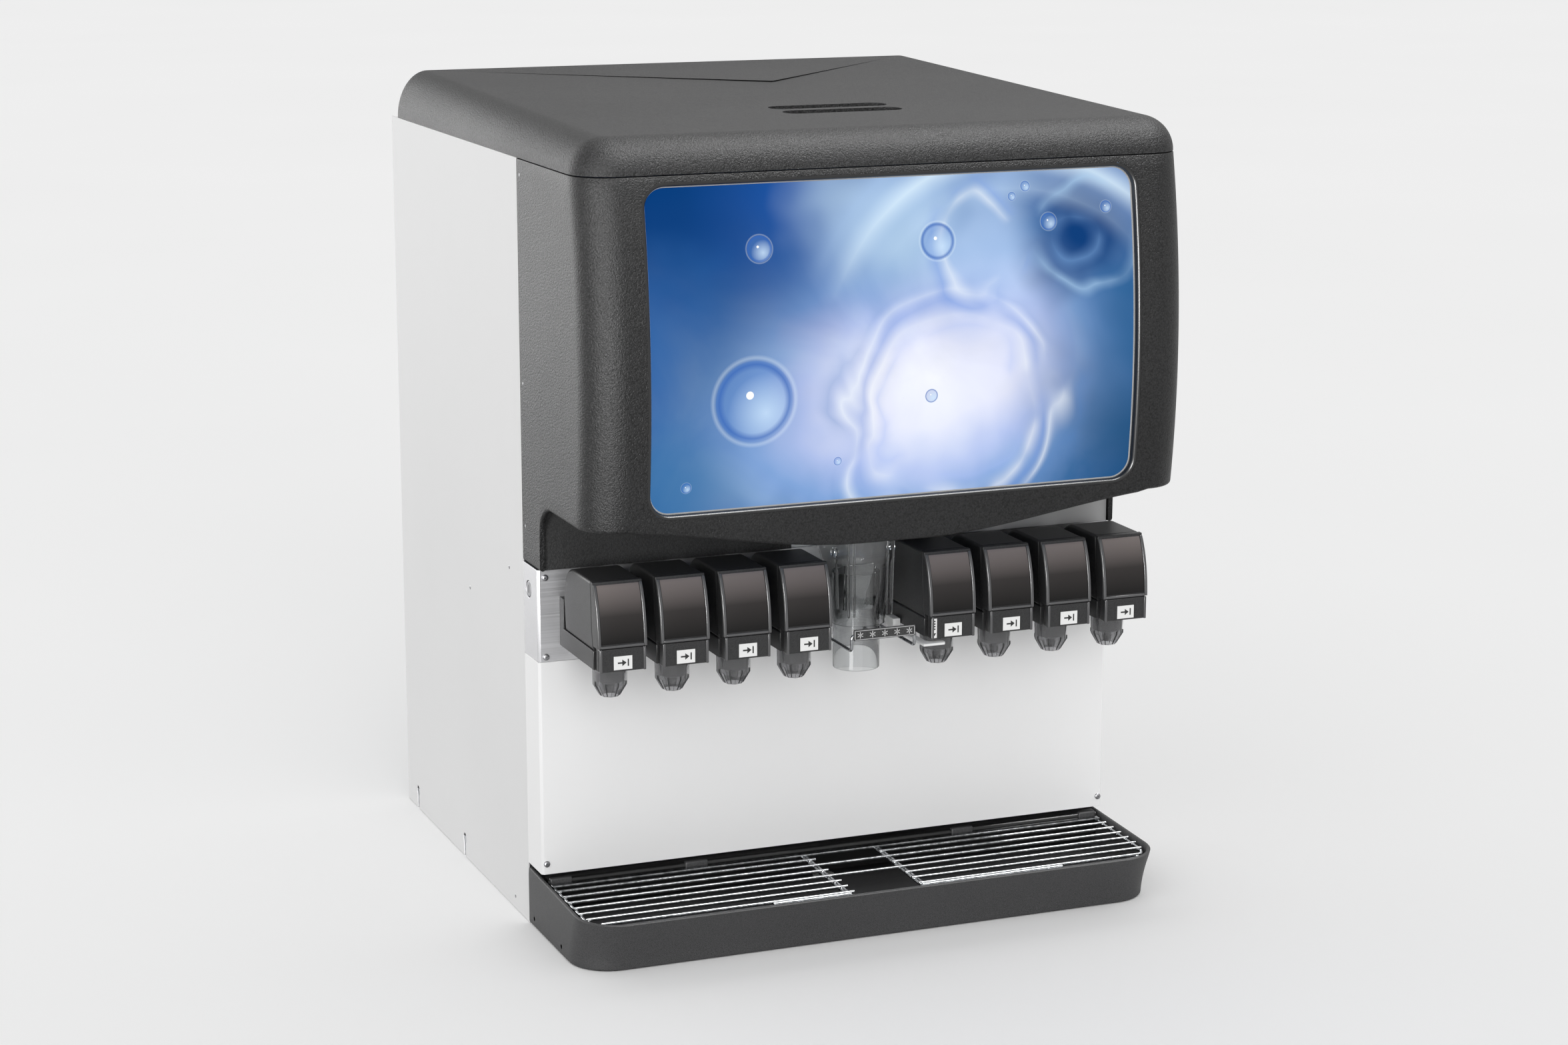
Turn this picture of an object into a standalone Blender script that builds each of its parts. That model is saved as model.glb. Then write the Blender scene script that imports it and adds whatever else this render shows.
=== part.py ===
"""Countertop ice and soda dispenser with eight push-key valves and an ice chute.

Lengths are in millimetres and each mesh is scaled to metres when its object is made.
+X is the machine's right-hand side as a customer sees it from the front, the customer stands
at -Y, and +Z is up.  The origin is on the counter, under the middle of the overall box.
"""
import math

import bmesh
import bpy
from mathutils import Vector

MM = 0.001

# Driving dimensions of the cabinet
WIDTH = 762.0                # across the side panels
DEPTH = 819.5                # canopy nose to rear panel
CABINET_DEPTH = 555.0        # side panel, front edge to back edge
CABINET_HEIGHT = 946.0
LID_HEIGHT = 1007.0          # highest point of the lid, at its back edge
SHEET = 2.0                  # sheet metal of the cabinet
GAP = 0.3                    # clearance between pieces that touch

HALF = WIDTH / 2
REAR = DEPTH / 2
SIDE_FRONT = REAR - CABINET_DEPTH          # y of the side panels' front edge
SPLASH = SIDE_FRONT - 55.0                 # y of the splash panel and of the valve mount plate
SPLASH_BOTTOM = 78.0
PLATE_BOTTOM = 345.4
PLATE_TOP = 459.0
HOSES_HALF = 110.0                         # half width and top of the rear panel's cut-out
HOSES_HIGH = 130.0

# Canopy
NOSE = -DEPTH / 2                          # y of the canopy front at its fullest height
NOSE_HEIGHT = 705.0
NOSE_CURVE = 4.4e-4                        # how fast the front falls back, per mm squared
CANOPY_TOP = CABINET_HEIGHT - 0.8
CANOPY_WALL = 4.0
CANOPY_CORNER = 48.0
CHEEK = 67.0                               # width of the low cheek behind the side arch
ARCH_RADIUS = 40.0
ARCH_HEIGHT = 541.0
DROOP = 37.5                               # how far the front edge hangs below the arch
WINDOW_HALF = 307.0
WINDOW_BOTTOM = 558.0
WINDOW_TOP = 932.7
WINDOW_CORNER = 25.0

# Lid
LID_SEAM = CABINET_HEIGHT + 0.4
LID_BACK = SIDE_FRONT + 524.0
LID_FRONT_HEIGHT = 988.0
LID_ROUND = 42.0
LID_WALL = 3.5

# Drip tray
TRAY_FRONT = SIDE_FRONT - 206.0
TRAY_LIP = SIDE_FRONT - 230.0
TRAY_CORNER = 52.0
TRAY_RIM_BACK = 72.0
TRAY_RIM_FRONT = 65.0
TRAY_RIM = 6.0
BASIN = 22.0
DRAIN = (0.0, SIDE_FRONT - 30.0)
WIRE = 4.0
RACK_HALF = HALF - 9.0
RACK_BACK = SIDE_FRONT - 64.0              # y of the rack's flat back bar
RACK_BACK_HEIGHT = 65.0
RACK_FRONT = SIDE_FRONT - 216.0            # y of the edge wire along the front
RACK_FRONT_HEIGHT = 61.5

# Valves
TAP_CENTRE = 5.0                           # the tap row and the chute sit right of the middle
TAP_INNER = 94.15                          # tap centre of the innermost valve on each side
TAP_PITCH = 78.0
VALVE_HALF = 30.5
VALVE_BOTTOM = 365.0
VALVE_SEAM = 388.0
VALVE_TOP = 469.5
KEY_TOP = 393.0
KEY_FRONT = SIDE_FRONT - 199.6
KEY_TRAVEL = 3.5
NOZZLE_Y = SIDE_FRONT - 150.0
NOZZLE_BOTTOM = 324.0
KEY_SWITCH = (SIDE_FRONT - 20.5, 429.0)    # y, z of the key switch in the plate's left return

# Ice path
CHUTE_Y = SIDE_FRONT - 120.0
CHUTE_BOTTOM = 320.0
GATE_BOTTOM = 606.0
GATE_TOP = 674.0
GATE_HALF = 34.0
GATE_HINGE = (TAP_CENTRE, SPLASH - 2.5, GATE_TOP + 3)
LEVER_HEIGHT = 362.0
LEVER_ARM = 41.0
HOPPER_BOTTOM = 590.0
HOPPER_HALF = 345.0
HOPPER_WALL = 12.0
AGITATOR_Y = SIDE_FRONT + 110.0
AGITATOR_RADIUS = 130.0

COLOURS = {
    "grey_paint": ((0.68, 0.69, 0.70), 0.42, 0.0),
    "splash_paint": ((0.74, 0.75, 0.76), 0.38, 0.0),
    "stainless": ((0.62, 0.63, 0.65), 0.30, 1.0),
    "galvanised": ((0.50, 0.51, 0.52), 0.50, 0.9),
    "charcoal": ((0.085, 0.085, 0.09), 0.62, 0.0),
    "dark_plastic": ((0.045, 0.045, 0.048), 0.50, 0.0),
    "valve_plastic": ((0.055, 0.055, 0.058), 0.48, 0.0),
    "tray_plastic": ((0.10, 0.10, 0.11), 0.50, 0.0),
    "smoky_clear": ((0.30, 0.30, 0.31), 0.15, 0.0),
    "clear": ((0.80, 0.83, 0.85), 0.08, 0.0),
    "white_plastic": ((0.80, 0.80, 0.78), 0.40, 0.0),
    "graphic_blue": ((0.10, 0.28, 0.62), 0.30, 0.0),
    "aluminium": ((0.66, 0.67, 0.68), 0.35, 1.0),
    "black_metal": ((0.03, 0.03, 0.032), 0.45, 0.3),
}


def clear_scene():
    for obj in list(bpy.data.objects):
        bpy.data.objects.remove(obj, do_unlink=True)


def material(name):
    """The shared Principled material of this name."""
    found = bpy.data.materials.get(name)
    if found:
        return found
    colour, roughness, metallic = COLOURS[name]
    made = bpy.data.materials.new(name)
    made.use_nodes = True
    shader = made.node_tree.nodes["Principled BSDF"]
    shader.inputs["Base Color"].default_value = (*colour, 1.0)
    shader.inputs["Roughness"].default_value = roughness
    shader.inputs["Metallic"].default_value = metallic
    made.diffuse_color = (*colour, 1.0)
    return made


def make(name, bm, look, origin=(0.0, 0.0, 0.0), smooth=False):
    """Make an object in metres from a closed bmesh in millimetres, with its origin at a point."""
    bmesh.ops.recalc_face_normals(bm, faces=bm.faces)
    bmesh.ops.translate(bm, verts=bm.verts, vec=-Vector(origin))
    bmesh.ops.scale(bm, verts=bm.verts, vec=(MM, MM, MM))
    mesh = bpy.data.meshes.new(name)
    bm.to_mesh(mesh)
    bm.free()
    return place(name, mesh, look, origin, smooth)


def place(name, mesh, look, origin=(0.0, 0.0, 0.0), smooth=False):
    """Put a mesh in the scene with a material, its origin at a point given in millimetres."""
    if smooth:
        mesh.shade_smooth()
        mesh.set_sharp_from_angle(angle=math.radians(35))
    if not mesh.materials:
        mesh.materials.append(material(look))
    obj = bpy.data.objects.new(name, mesh)
    obj.location = Vector(origin) * MM
    bpy.context.scene.collection.objects.link(obj)
    return obj


def boolean(obj, tool, operation="DIFFERENCE"):
    """Cut the tool out of an object, or join it on, and remove the tool."""
    modifier = obj.modifiers.new("boolean", "BOOLEAN")
    modifier.solver = "EXACT"
    modifier.operation = operation
    modifier.object = tool
    depsgraph = bpy.context.evaluated_depsgraph_get()
    result = bpy.data.meshes.new_from_object(obj.evaluated_get(depsgraph))
    obj.modifiers.clear()
    old = obj.data
    obj.data = result
    result.name = old.name
    bpy.data.meshes.remove(old)
    bpy.data.objects.remove(tool, do_unlink=True)
    return obj


# Mesh builders, all in millimetres

def bridge(bm, first, second):
    """Quads between two loops of vertices with the same count."""
    count = len(first)
    for i in range(count):
        j = (i + 1) % count
        bm.faces.new((first[i], first[j], second[j], second[i]))


def loft(loops, bm=None):
    """A closed solid through a list of closed loops of points, capped at both ends."""
    bm = bm or bmesh.new()
    rings = [[bm.verts.new(point) for point in loop] for loop in loops]
    for first, second in zip(rings, rings[1:]):
        bridge(bm, first, second)
    bm.faces.new(rings[0])
    bm.faces.new(rings[-1])
    return bm


def box(low, high, bm=None):
    """A box between two corners."""
    (x0, y0, z0), (x1, y1, z1) = low, high
    plan = [(x0, y0), (x1, y0), (x1, y1), (x0, y1)]
    return loft([[(x, y, z) for x, y in plan] for z in (z0, z1)], bm)


def prism_x(outline, x0, x1, bm=None):
    """An outline of (y, z) points extruded along X."""
    return loft([[(x, y, z) for y, z in outline] for x in (x0, x1)], bm)


def prism_z(outline, z0, z1, bm=None):
    """An outline of (x, y) points extruded along Z."""
    return loft([[(x, y, z) for x, y in outline] for z in (z0, z1)], bm)


def rod(start, end, radius, sides=16, bm=None):
    """A round bar between two points."""
    start, end = Vector(start), Vector(end)
    turn = (end - start).to_track_quat("Z", "Y")
    circle = [turn @ Vector((radius * math.cos(a), radius * math.sin(a), 0.0))
              for a in (2 * math.pi * i / sides for i in range(sides))]
    return loft([[end_point + point for point in circle] for end_point in (start, end)], bm)


def lathe(profile, centre, sides=24):
    """Turn a closed profile of (radius, z) points about a vertical axis through (x, y)."""
    bm = bmesh.new()
    rings = []
    for radius, z in profile:
        if radius == 0:
            rings.append([bm.verts.new((*centre, z))] * sides)
            continue
        angles = [2 * math.pi * i / sides for i in range(sides)]
        rings.append([bm.verts.new((centre[0] + radius * math.cos(a),
                                    centre[1] + radius * math.sin(a), z)) for a in angles])
    for ring, following in zip(rings, rings[1:] + rings[:1]):
        if ring[0] is ring[1] and following[0] is following[1]:
            continue
        for i in range(sides):
            j = (i + 1) % sides
            corners = list(dict.fromkeys((ring[i], ring[j], following[j], following[i])))
            bm.faces.new(corners)
    return bm


def sheet(outline, holes, normal, thickness):
    """A flat plate with holes: planar loops of 3-D points, thickened along a normal."""
    bm = bmesh.new()
    for loop in (outline, *holes):
        verts = [bm.verts.new(point) for point in loop]
        for i, vert in enumerate(verts):
            bm.edges.new((vert, verts[(i + 1) % len(verts)]))
    bmesh.ops.triangle_fill(bm, use_beauty=True, edges=bm.edges[:], normal=normal)
    extruded = bmesh.ops.extrude_face_region(bm, geom=bm.faces[:])["geom"]
    moved = [item for item in extruded if isinstance(item, bmesh.types.BMVert)]
    bmesh.ops.translate(bm, verts=moved, vec=Vector(normal) * thickness)
    return bm


def rounded_rectangle(half, bottom, top, radius, arc=5, side=1):
    """Points (x, z) round a rectangle about x = 0, its upright sides cut into stretches."""
    points = []
    corners = [(half - radius, top - radius, 0), (-half + radius, top - radius, 90),
               (-half + radius, bottom + radius, 180), (half - radius, bottom + radius, 270)]
    for number, (x, z, start) in enumerate(corners):
        for step in range(arc + 1):
            angle = math.radians(start + 90 * step / arc)
            points.append((x + radius * math.cos(angle), z + radius * math.sin(angle)))
        if number in (1, 3):
            z_from = points[-1][1]
            z_to = (bottom + radius) if number == 1 else (top - radius)
            for step in range(1, side):
                points.append((points[-1][0], z_from + (z_to - z_from) * step / side))
    return points


def nose(z):
    """y of the canopy's front at a height."""
    return NOSE + NOSE_CURVE * (z - NOSE_HEIGHT) ** 2


def smoothstep(t):
    t = min(max(t, 0.0), 1.0)
    return t * t * (3 - 2 * t)


# Cabinet

def keyhole(y, z=0.0):
    """A slot, open at the panel's bottom edge, as (y, z) points from front to back."""
    neck, head, height = 4.0, 8.0, 24.0
    arc = [math.radians(-50 + 280 * i / 8) for i in range(9)]
    round_top = [(y - head * math.cos(a), z + height + head * math.sin(a)) for a in arc]
    return [(y - neck, z), *round_top, (y + neck, z)]


def side_panels():
    outline = [(SIDE_FRONT, 0.0), *keyhole(SIDE_FRONT + 281), *keyhole(SIDE_FRONT + 507),
               (REAR, 0.0), (REAR, CABINET_HEIGHT), (SIDE_FRONT, CABINET_HEIGHT)]
    for name, outer in (("left_side_panel", -HALF), ("right_side_panel", HALF)):
        inner = outer - math.copysign(SHEET, outer)
        loop = [(outer, y, z) for y, z in outline]
        make(name, sheet(loop, [], (math.copysign(1, inner - outer), 0, 0), SHEET), "grey_paint")


def rear_panel():
    """Back sheet with a cut-out at its foot for the hoses."""
    half, low, high = HALF - SHEET - GAP, 3.0, 941.0
    outline = [(-half, low), (-HOSES_HALF, low), (-HOSES_HALF, HOSES_HIGH),
               (HOSES_HALF, HOSES_HIGH), (HOSES_HALF, low), (half, low), (half, high),
               (-half, high)]
    loop = [(x, REAR, z) for x, z in outline]
    make("rear_panel", sheet(loop, [], (0, -1, 0), SHEET), "galvanised")


def base_pan():
    x, front, back = HALF - SHEET - GAP, SIDE_FRONT + 1, REAR - SHEET - GAP
    plan = [(-x, front), (x, front), (x, back), (-x, back)]
    inset = [(-x + SHEET, front + SHEET), (x - SHEET, front + SHEET),
             (x - SHEET, back - SHEET), (-x + SHEET, back - SHEET)]
    levels = [(plan, 0.0), (plan, 26.0), (inset, 26.0), (inset, SHEET)]
    make("base_pan", loft([[(x, y, z) for x, y in loop] for loop, z in levels]), "galvanised")


def wrapped_front(z0, z1):
    """A sheet across the front that folds back to the side panels at both ends."""
    fold, back = 3.0, SIDE_FRONT - GAP
    outer, inner = HALF, HALF - SHEET
    outline = [(-outer, back), (-outer, SPLASH + fold), (-outer + fold, SPLASH),
               (outer - fold, SPLASH), (outer, SPLASH + fold), (outer, back),
               (inner, back), (inner, SPLASH + fold), (inner - 1, SPLASH + SHEET),
               (-inner + 1, SPLASH + SHEET), (-inner, SPLASH + fold), (-inner, back)]
    return prism_z(outline, z0, z1)


def splash_panel():
    make("splash_panel", wrapped_front(SPLASH_BOTTOM, PLATE_BOTTOM - GAP), "splash_paint")


def valve_mount_plate():
    plate = make("valve_mount_plate", wrapped_front(PLATE_BOTTOM, PLATE_TOP), "stainless")
    tools = bmesh.new()
    for side in (-1, 1):
        x = TAP_CENTRE + side * LEVER_ARM
        rod((x, SPLASH - 5, LEVER_HEIGHT), (x, SPLASH + 8, LEVER_HEIGHT), 3.0, 12, tools)
    y, z = KEY_SWITCH
    rod((-HALF - 5, y, z), (-HALF + 8, y, z), 10.6, 20, tools)
    boolean(plate, make("holes", tools, "stainless"))


def key_switch():
    """Round key-operated switch in the left end of the valve mount plate."""
    y, z = KEY_SWITCH
    x = -HALF + 0.1
    bm = rod((x, y, z), (x + 24, y, z), 10.0, 20)
    switch = make("key_switch", bm, "stainless", (x, y, z), smooth=True)
    slot = make("slot", box((x - 1, y - 1.2, z - 5), (x + 3, y + 1.2, z + 5)), "stainless")
    boolean(switch, slot)


def front_bulkhead():
    """Inner front sheet that closes the cabinet behind the canopy."""
    y = SPLASH + SHEET + GAP
    half = HALF - CANOPY_WALL - 1
    low, high = 385.0, CANOPY_TOP - 4
    loop = [(-half, y, low), (half, y, low), (half, y, high), (-half, y, high)]
    x0, x1 = TAP_CENTRE - GATE_HALF, TAP_CENTRE + GATE_HALF
    hole = [(x0, y, GATE_BOTTOM), (x1, y, GATE_BOTTOM), (x1, y, GATE_TOP), (x0, y, GATE_TOP)]
    make("front_bulkhead", sheet(loop, [hole], (0, 1, 0), SHEET), "galvanised")


# Canopy and its backlit graphic

def canopy_columns():
    """Plan points from the left rear to the middle of the front.

    Each is (kind, value, bottom height): a 'side' column stands a fixed distance in front of
    the side panel, a 'run' column is a share of the way to the corner, a 'corner' column is an
    angle round the corner and a 'front' column is a distance from the middle.
    """
    columns = [("side", 0.0, PLATE_TOP + 1), ("side", CHEEK - 0.5, PLATE_TOP + 1)]
    for step in range(6):
        angle = math.radians(90 * step / 5)
        columns.append(("side", CHEEK + ARCH_RADIUS * (1 - math.cos(angle)),
                        ARCH_HEIGHT - ARCH_RADIUS * (1 - math.sin(angle))))
    columns += [("run", 0.5, ARCH_HEIGHT)]
    columns += [("corner", math.radians(90 * step / 6), ARCH_HEIGHT) for step in range(7)]
    for x in (300, 260, 220, 180, 140, 100, 60, 0):
        columns.append(("front", x, ARCH_HEIGHT - DROOP * (1 - smoothstep((x - 40) / 341))))
    return columns


def canopy_point(kind, value, z, inset):
    """Place a column's point at a height, moved inward by the inset."""
    half, radius = HALF - inset, CANOPY_CORNER - inset
    corner_y = nose(z) + CANOPY_CORNER
    if kind == "side":
        return -half, SIDE_FRONT - GAP - value
    if kind == "run":
        start = SIDE_FRONT - CHEEK - ARCH_RADIUS
        return -half, start + (corner_y - start) * value
    if kind == "corner":
        return (-half + radius * (1 - math.cos(value)), corner_y - radius * math.sin(value))
    return -value, nose(z) + inset


def canopy_housing():
    columns = canopy_columns()
    mirrored = [(c, -1) for c in reversed(columns[:-1])]
    rows = 9
    sections = []
    for (kind, value, low), side in [(c, 1) for c in columns] + mirrored:
        levels = [CANOPY_TOP + (low - CANOPY_TOP) * i / rows for i in range(rows + 1)]
        ring = []
        for inset, heights in ((0.0, levels), (CANOPY_WALL, levels[::-1])):
            for z in heights:
                x, y = canopy_point(kind, value, z, inset)
                ring.append((x * side, y, z))
        sections.append(ring)
    housing = make("canopy_housing", loft(sections), "charcoal", smooth=True)
    window = rounded_rectangle(WINDOW_HALF, WINDOW_BOTTOM, WINDOW_TOP, WINDOW_CORNER)
    loops = [[(x, y, z) for x, z in window] for y in (NOSE - 20, NOSE + 60)]
    boolean(housing, make("window", loft(loops), "charcoal"))


def canopy_liner():
    """Skirt behind the valves and floor under the light box, bent from one sheet."""
    back, front = SPLASH - 5.0, SIDE_FRONT - 198
    low, floor = PLATE_TOP + 1, 548.0
    outline = [(back, low), (back, floor), (front, floor), (front, floor - SHEET),
               (back - SHEET, floor - SHEET), (back - SHEET, low)]
    half = HALF - CANOPY_WALL - 1
    liner = make("canopy_liner", prism_x(outline, -half, half), "dark_plastic")
    notch = box((TAP_CENTRE - 62, front + 20, low - 5), (TAP_CENTRE + 62, back + 5, floor + 5))
    boolean(liner, make("notch", notch, "dark_plastic"))


def curved_ring(outer, inner, front, back):
    """A frame between two loops of (x, z) points that follows the canopy's front."""
    loops = []
    for points, offset in ((outer, front), (outer, back), (inner, back), (inner, front)):
        loops.append([(x, nose(z) + offset, z) for x, z in points])
    bm = bmesh.new()
    rings = [[bm.verts.new(point) for point in loop] for loop in loops]
    for first, second in zip(rings, rings[1:] + rings[:1]):
        bridge(bm, first, second)
    return bm


def graphic_frame():
    margin, stretches = 10.0, 8
    outer = rounded_rectangle(WINDOW_HALF + margin, WINDOW_BOTTOM - margin,
                              WINDOW_TOP + margin, WINDOW_CORNER + margin, side=stretches)
    inner = rounded_rectangle(WINDOW_HALF, WINDOW_BOTTOM, WINDOW_TOP, WINDOW_CORNER,
                              side=stretches)
    ring = curved_ring(outer, inner, CANOPY_WALL + 1, 8.5)
    make("graphic_frame", ring, "dark_plastic")


def graphic_panel():
    """Translucent panel, bent to the canopy's front, built of level strips."""
    margin, rows = 9.0, 12
    half, radius = WINDOW_HALF + margin, WINDOW_CORNER + margin
    low, high = WINDOW_BOTTOM - margin, WINDOW_TOP + margin
    loops = []
    heights = [low + (high - low) * i / rows for i in range(rows + 1)]
    for z in heights:
        reach = max(radius - min(z - low, high - z), 0.0)
        x = half - radius + math.sqrt(max(radius ** 2 - reach ** 2, 0.0))
        front, back = nose(z) + 9.5, nose(z) + 12.5
        loops.append([(-x, front, z), (x, front, z), (x, back, z), (-x, back, z)])
    make("graphic_panel", loft(loops), "graphic_blue")


def lighting():
    """Fluorescent lamp behind the graphic and the reflector that holds its ends."""
    y, z, half = SIDE_FRONT - 205, 745.0, 285.0
    tube = rod((-half, y, z), (half, y, z), 13.0, 16)
    make("lamp_tube", tube, "white_plastic", (0, y, z), smooth=True)
    back = SIDE_FRONT - 176
    ear = half + 4
    outline = [(-ear - 3, back), (-ear - 3, y - 16), (-ear, y - 16), (-ear, back - 3),
               (ear, back - 3), (ear, y - 16), (ear + 3, y - 16), (ear + 3, back)]
    make("lamp_reflector", prism_z(outline, 560, 930), "white_plastic")


# Lid

def lid_top(y):
    """Height of the lid's top plane, which climbs to the back."""
    front = nose(LID_SEAM) + LID_ROUND
    share = (y - front) / (LID_BACK - front)
    return LID_FRONT_HEIGHT + (LID_HEIGHT - LID_FRONT_HEIGHT) * share


def lid_loop(angle, wall):
    """Loop of the lid's surface at an angle round its edge: 0 at the seam, 90 on top."""
    inset = LID_ROUND * (1 - math.cos(angle)) + wall
    half, front, back = HALF - inset, nose(LID_SEAM) + inset, LID_BACK - wall
    radius = max(CANOPY_CORNER - inset, 8.0)
    plan = [(-half, back)]
    for x, start in ((-half + radius, 180), (half - radius, 270)):
        for step in range(7):
            a = math.radians(start + 90 * step / 6)
            plan.append((x + radius * math.cos(a), front + radius + radius * math.sin(a)))
    plan.append((half, back))
    return [(x, y, LID_SEAM + (lid_top(y) - wall - LID_SEAM) * math.sin(angle))
            for x, y in plan]


def lid():
    angles = [math.radians(90 * i / 6) for i in range(7)]
    outer = [lid_loop(angle, 0.0) for angle in reversed(angles)]
    inner = [lid_loop(angle, LID_WALL) for angle in angles]
    make("lid", loft(outer + inner), "charcoal", smooth=True)


# Drip tray

def tray_loop(inset, front, height, front_height=None):
    """Loop of the drip tray, open square at the back and rounded at its front corners."""
    half, radius, back = HALF - inset, TRAY_CORNER - inset, SIDE_FRONT - GAP - inset
    front = front + inset
    plan = [(-half, back)]
    for x, start in ((-half + radius, 180), (half - radius, 270)):
        for step in range(7):
            a = math.radians(start + 90 * step / 6)
            plan.append((x + radius * math.cos(a), front + radius + radius * math.sin(a)))
    plan.append((half, back))
    low = height if front_height is None else front_height
    return [(x, y, height + (low - height) * (back - y) / (back - front)) for x, y in plan]


def drip_tray():
    wall = 3.0
    loops = [tray_loop(wall + 1, TRAY_FRONT, BASIN - wall), tray_loop(wall, TRAY_FRONT, 0.0),
             tray_loop(0.0, TRAY_FRONT, 0.0),
             tray_loop(0.0, TRAY_LIP, TRAY_RIM_BACK, TRAY_RIM_FRONT),
             tray_loop(TRAY_RIM, TRAY_LIP, TRAY_RIM_BACK, TRAY_RIM_FRONT),
             tray_loop(TRAY_RIM + 3, TRAY_FRONT, BASIN)]
    tray = make("drip_tray", loft(loops), "tray_plastic")
    boolean(tray, make("bore", rod((*DRAIN, 10), (*DRAIN, 30), 9.0), "tray_plastic"))


def drain_fitting():
    top = BASIN + GAP
    profile = [(6, top + 2), (14, top + 2), (14, top), (8.5, top), (8.5, 5), (6, 5)]
    make("drain_fitting", lathe(profile, DRAIN, 20), "white_plastic", smooth=True)


def rack_height(y):
    """Height of the rack's long wires, which slopes like the tray's rim."""
    share = (RACK_BACK - y) / (RACK_BACK - RACK_FRONT)
    return RACK_BACK_HEIGHT + (RACK_FRONT_HEIGHT - RACK_BACK_HEIGHT) * share


def cup_rest_grid():
    """Welded wire rack: a flat back bar and long wires on top of four cross wires."""
    radius, below = WIRE / 2, 2.8
    dividers = (TAP_CENTRE - 46, TAP_CENTRE + 53)
    wires, crossings = bmesh.new(), bmesh.new()
    box((-RACK_HALF, RACK_BACK - 5, RACK_BACK_HEIGHT - 2),
        (RACK_HALF, RACK_BACK + 5, RACK_BACK_HEIGHT + 2), wires)
    for row in range(1, 9):
        y = RACK_BACK - 20.5 * row if row < 8 else RACK_FRONT
        inset = {6: 3, 7: 15, 8: 40}.get(row, 0)
        left, right = -RACK_HALF + inset, RACK_HALF - inset
        whole = row in (2, 4, 8)
        spans = [(left, right)] if whole else [(left, dividers[0] + 8), (dividers[1] - 8, right)]
        for x0, x1 in spans:
            z = rack_height(y)
            rod((x0, y, z), (x1, y, z), radius, 8, wires)
    for x in (-RACK_HALF + 3, *dividers, RACK_HALF - 3):
        end = RACK_FRONT - 1 if x in dividers else RACK_FRONT + 30
        rod((x, RACK_BACK + 3, RACK_BACK_HEIGHT - below), (x, end, rack_height(end) - below),
            radius, 8, crossings)
    for side in (-1, 1):
        x, y = side * (RACK_HALF - 3), RACK_FRONT + 30
        z = rack_height(RACK_FRONT)
        rod((x, y + 2, rack_height(y) - below), (side * (RACK_HALF - 41), RACK_FRONT, z - 1),
            radius, 8, crossings)
    rack = make("cup_rest_grid", wires, "stainless", smooth=True)
    boolean(rack, make("cross_wires", crossings, "stainless"), "UNION")


# Valves

def valve_meshes():
    """Meshes of one valve about x = 0: body, cover, key and nozzle."""
    rear = SPLASH - GAP
    seam, front = VALVE_SEAM, SIDE_FRONT - 181
    back_plate = [(rear, VALVE_BOTTOM), (rear, 425), (rear - 14, 425), (rear - 14, seam),
                  (front, seam), (front, VALVE_BOTTOM)]
    body = make("valve_body", prism_x(back_plate, -VALVE_HALF, VALVE_HALF), "valve_plastic")
    core = box((-21, front + 32, seam - 3), (21, rear - 30, 440))
    boolean(body, make("core", core, "valve_plastic"), "UNION")
    key_way = box((-24, front - 5, VALVE_BOTTOM + 4), (24, front + 8, seam - 4))
    boolean(body, make("key_way", key_way, "valve_plastic"))

    profile = [(SIDE_FRONT - 76, seam + GAP), (SIDE_FRONT - 71, 430), (SIDE_FRONT - 78, 443.5),
               (SIDE_FRONT - 92, 461), (SIDE_FRONT - 106, VALVE_TOP), (SIDE_FRONT - 173, VALVE_TOP),
               (SIDE_FRONT - 181.5, 466.5), (SIDE_FRONT - 188.5, 447), (SIDE_FRONT - 194.5, 418),
               (KEY_FRONT + 0.6, KEY_TOP + GAP), (SIDE_FRONT - 181.5, KEY_TOP + GAP),
               (SIDE_FRONT - 181.5, seam + GAP)]
    bm = prism_x(profile, -VALVE_HALF, VALVE_HALF)
    ends = [face for face in bm.faces if len(face.verts) == len(profile)]
    rim = {edge for face in ends for edge in face.edges
           if max(vert.co.z for vert in edge.verts) > KEY_TOP + 5}
    bmesh.ops.bevel(bm, geom=list(rim), offset=3.0, segments=2, profile=0.5, affect="EDGES")
    cover = make("valve_cover", bm, "valve_plastic", smooth=True)
    wall = 2.2
    hollow = [(SIDE_FRONT - 78.5, seam - 5), (SIDE_FRONT - 73.5, 429), (SIDE_FRONT - 93.5, 458.5),
              (SIDE_FRONT - 107, VALVE_TOP - wall - 1), (SIDE_FRONT - 172, VALVE_TOP - wall - 1),
              (SIDE_FRONT - 178, 464), (SIDE_FRONT - 179, seam - 5)]
    inside = VALVE_HALF - wall - 1
    boolean(cover, make("hollow", prism_x(hollow, -inside, inside), "valve_plastic"))

    key_half = 28.5
    back = front - KEY_TRAVEL - 1.0
    corners = [(-key_half, VALVE_BOTTOM), (key_half, VALVE_BOTTOM), (key_half, KEY_TOP),
               (-key_half, KEY_TOP)]
    levels = [(0, KEY_FRONT + 1.5), (0, back), (2.5, back), (2.5, KEY_FRONT + 3)]
    loops = [[(x - math.copysign(1, x), KEY_FRONT, min(max(z, VALVE_BOTTOM + 1), KEY_TOP - 1))
              for x, z in corners]]
    for inset, y in levels:
        loops.append([(x - math.copysign(inset, x), y,
                       min(max(z, VALVE_BOTTOM + inset), KEY_TOP - inset)) for x, z in corners])
    key = make("push_key", loft(loops), "valve_plastic")
    stem = box((-5, KEY_FRONT + 2, 374), (5, front + 3, 381))
    boolean(key, make("stem", stem, "valve_plastic"), "UNION")

    high, low = VALVE_BOTTOM - GAP, NOZZLE_BOTTOM
    outline = [(0, high), (21, high), (21, high - 12), (14.5, low), (0, low)]
    nozzle = make("nozzle", lathe(outline, (0, NOZZLE_Y), 20), "smoky_clear", smooth=True)
    return [body, cover, key, nozzle]


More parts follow.
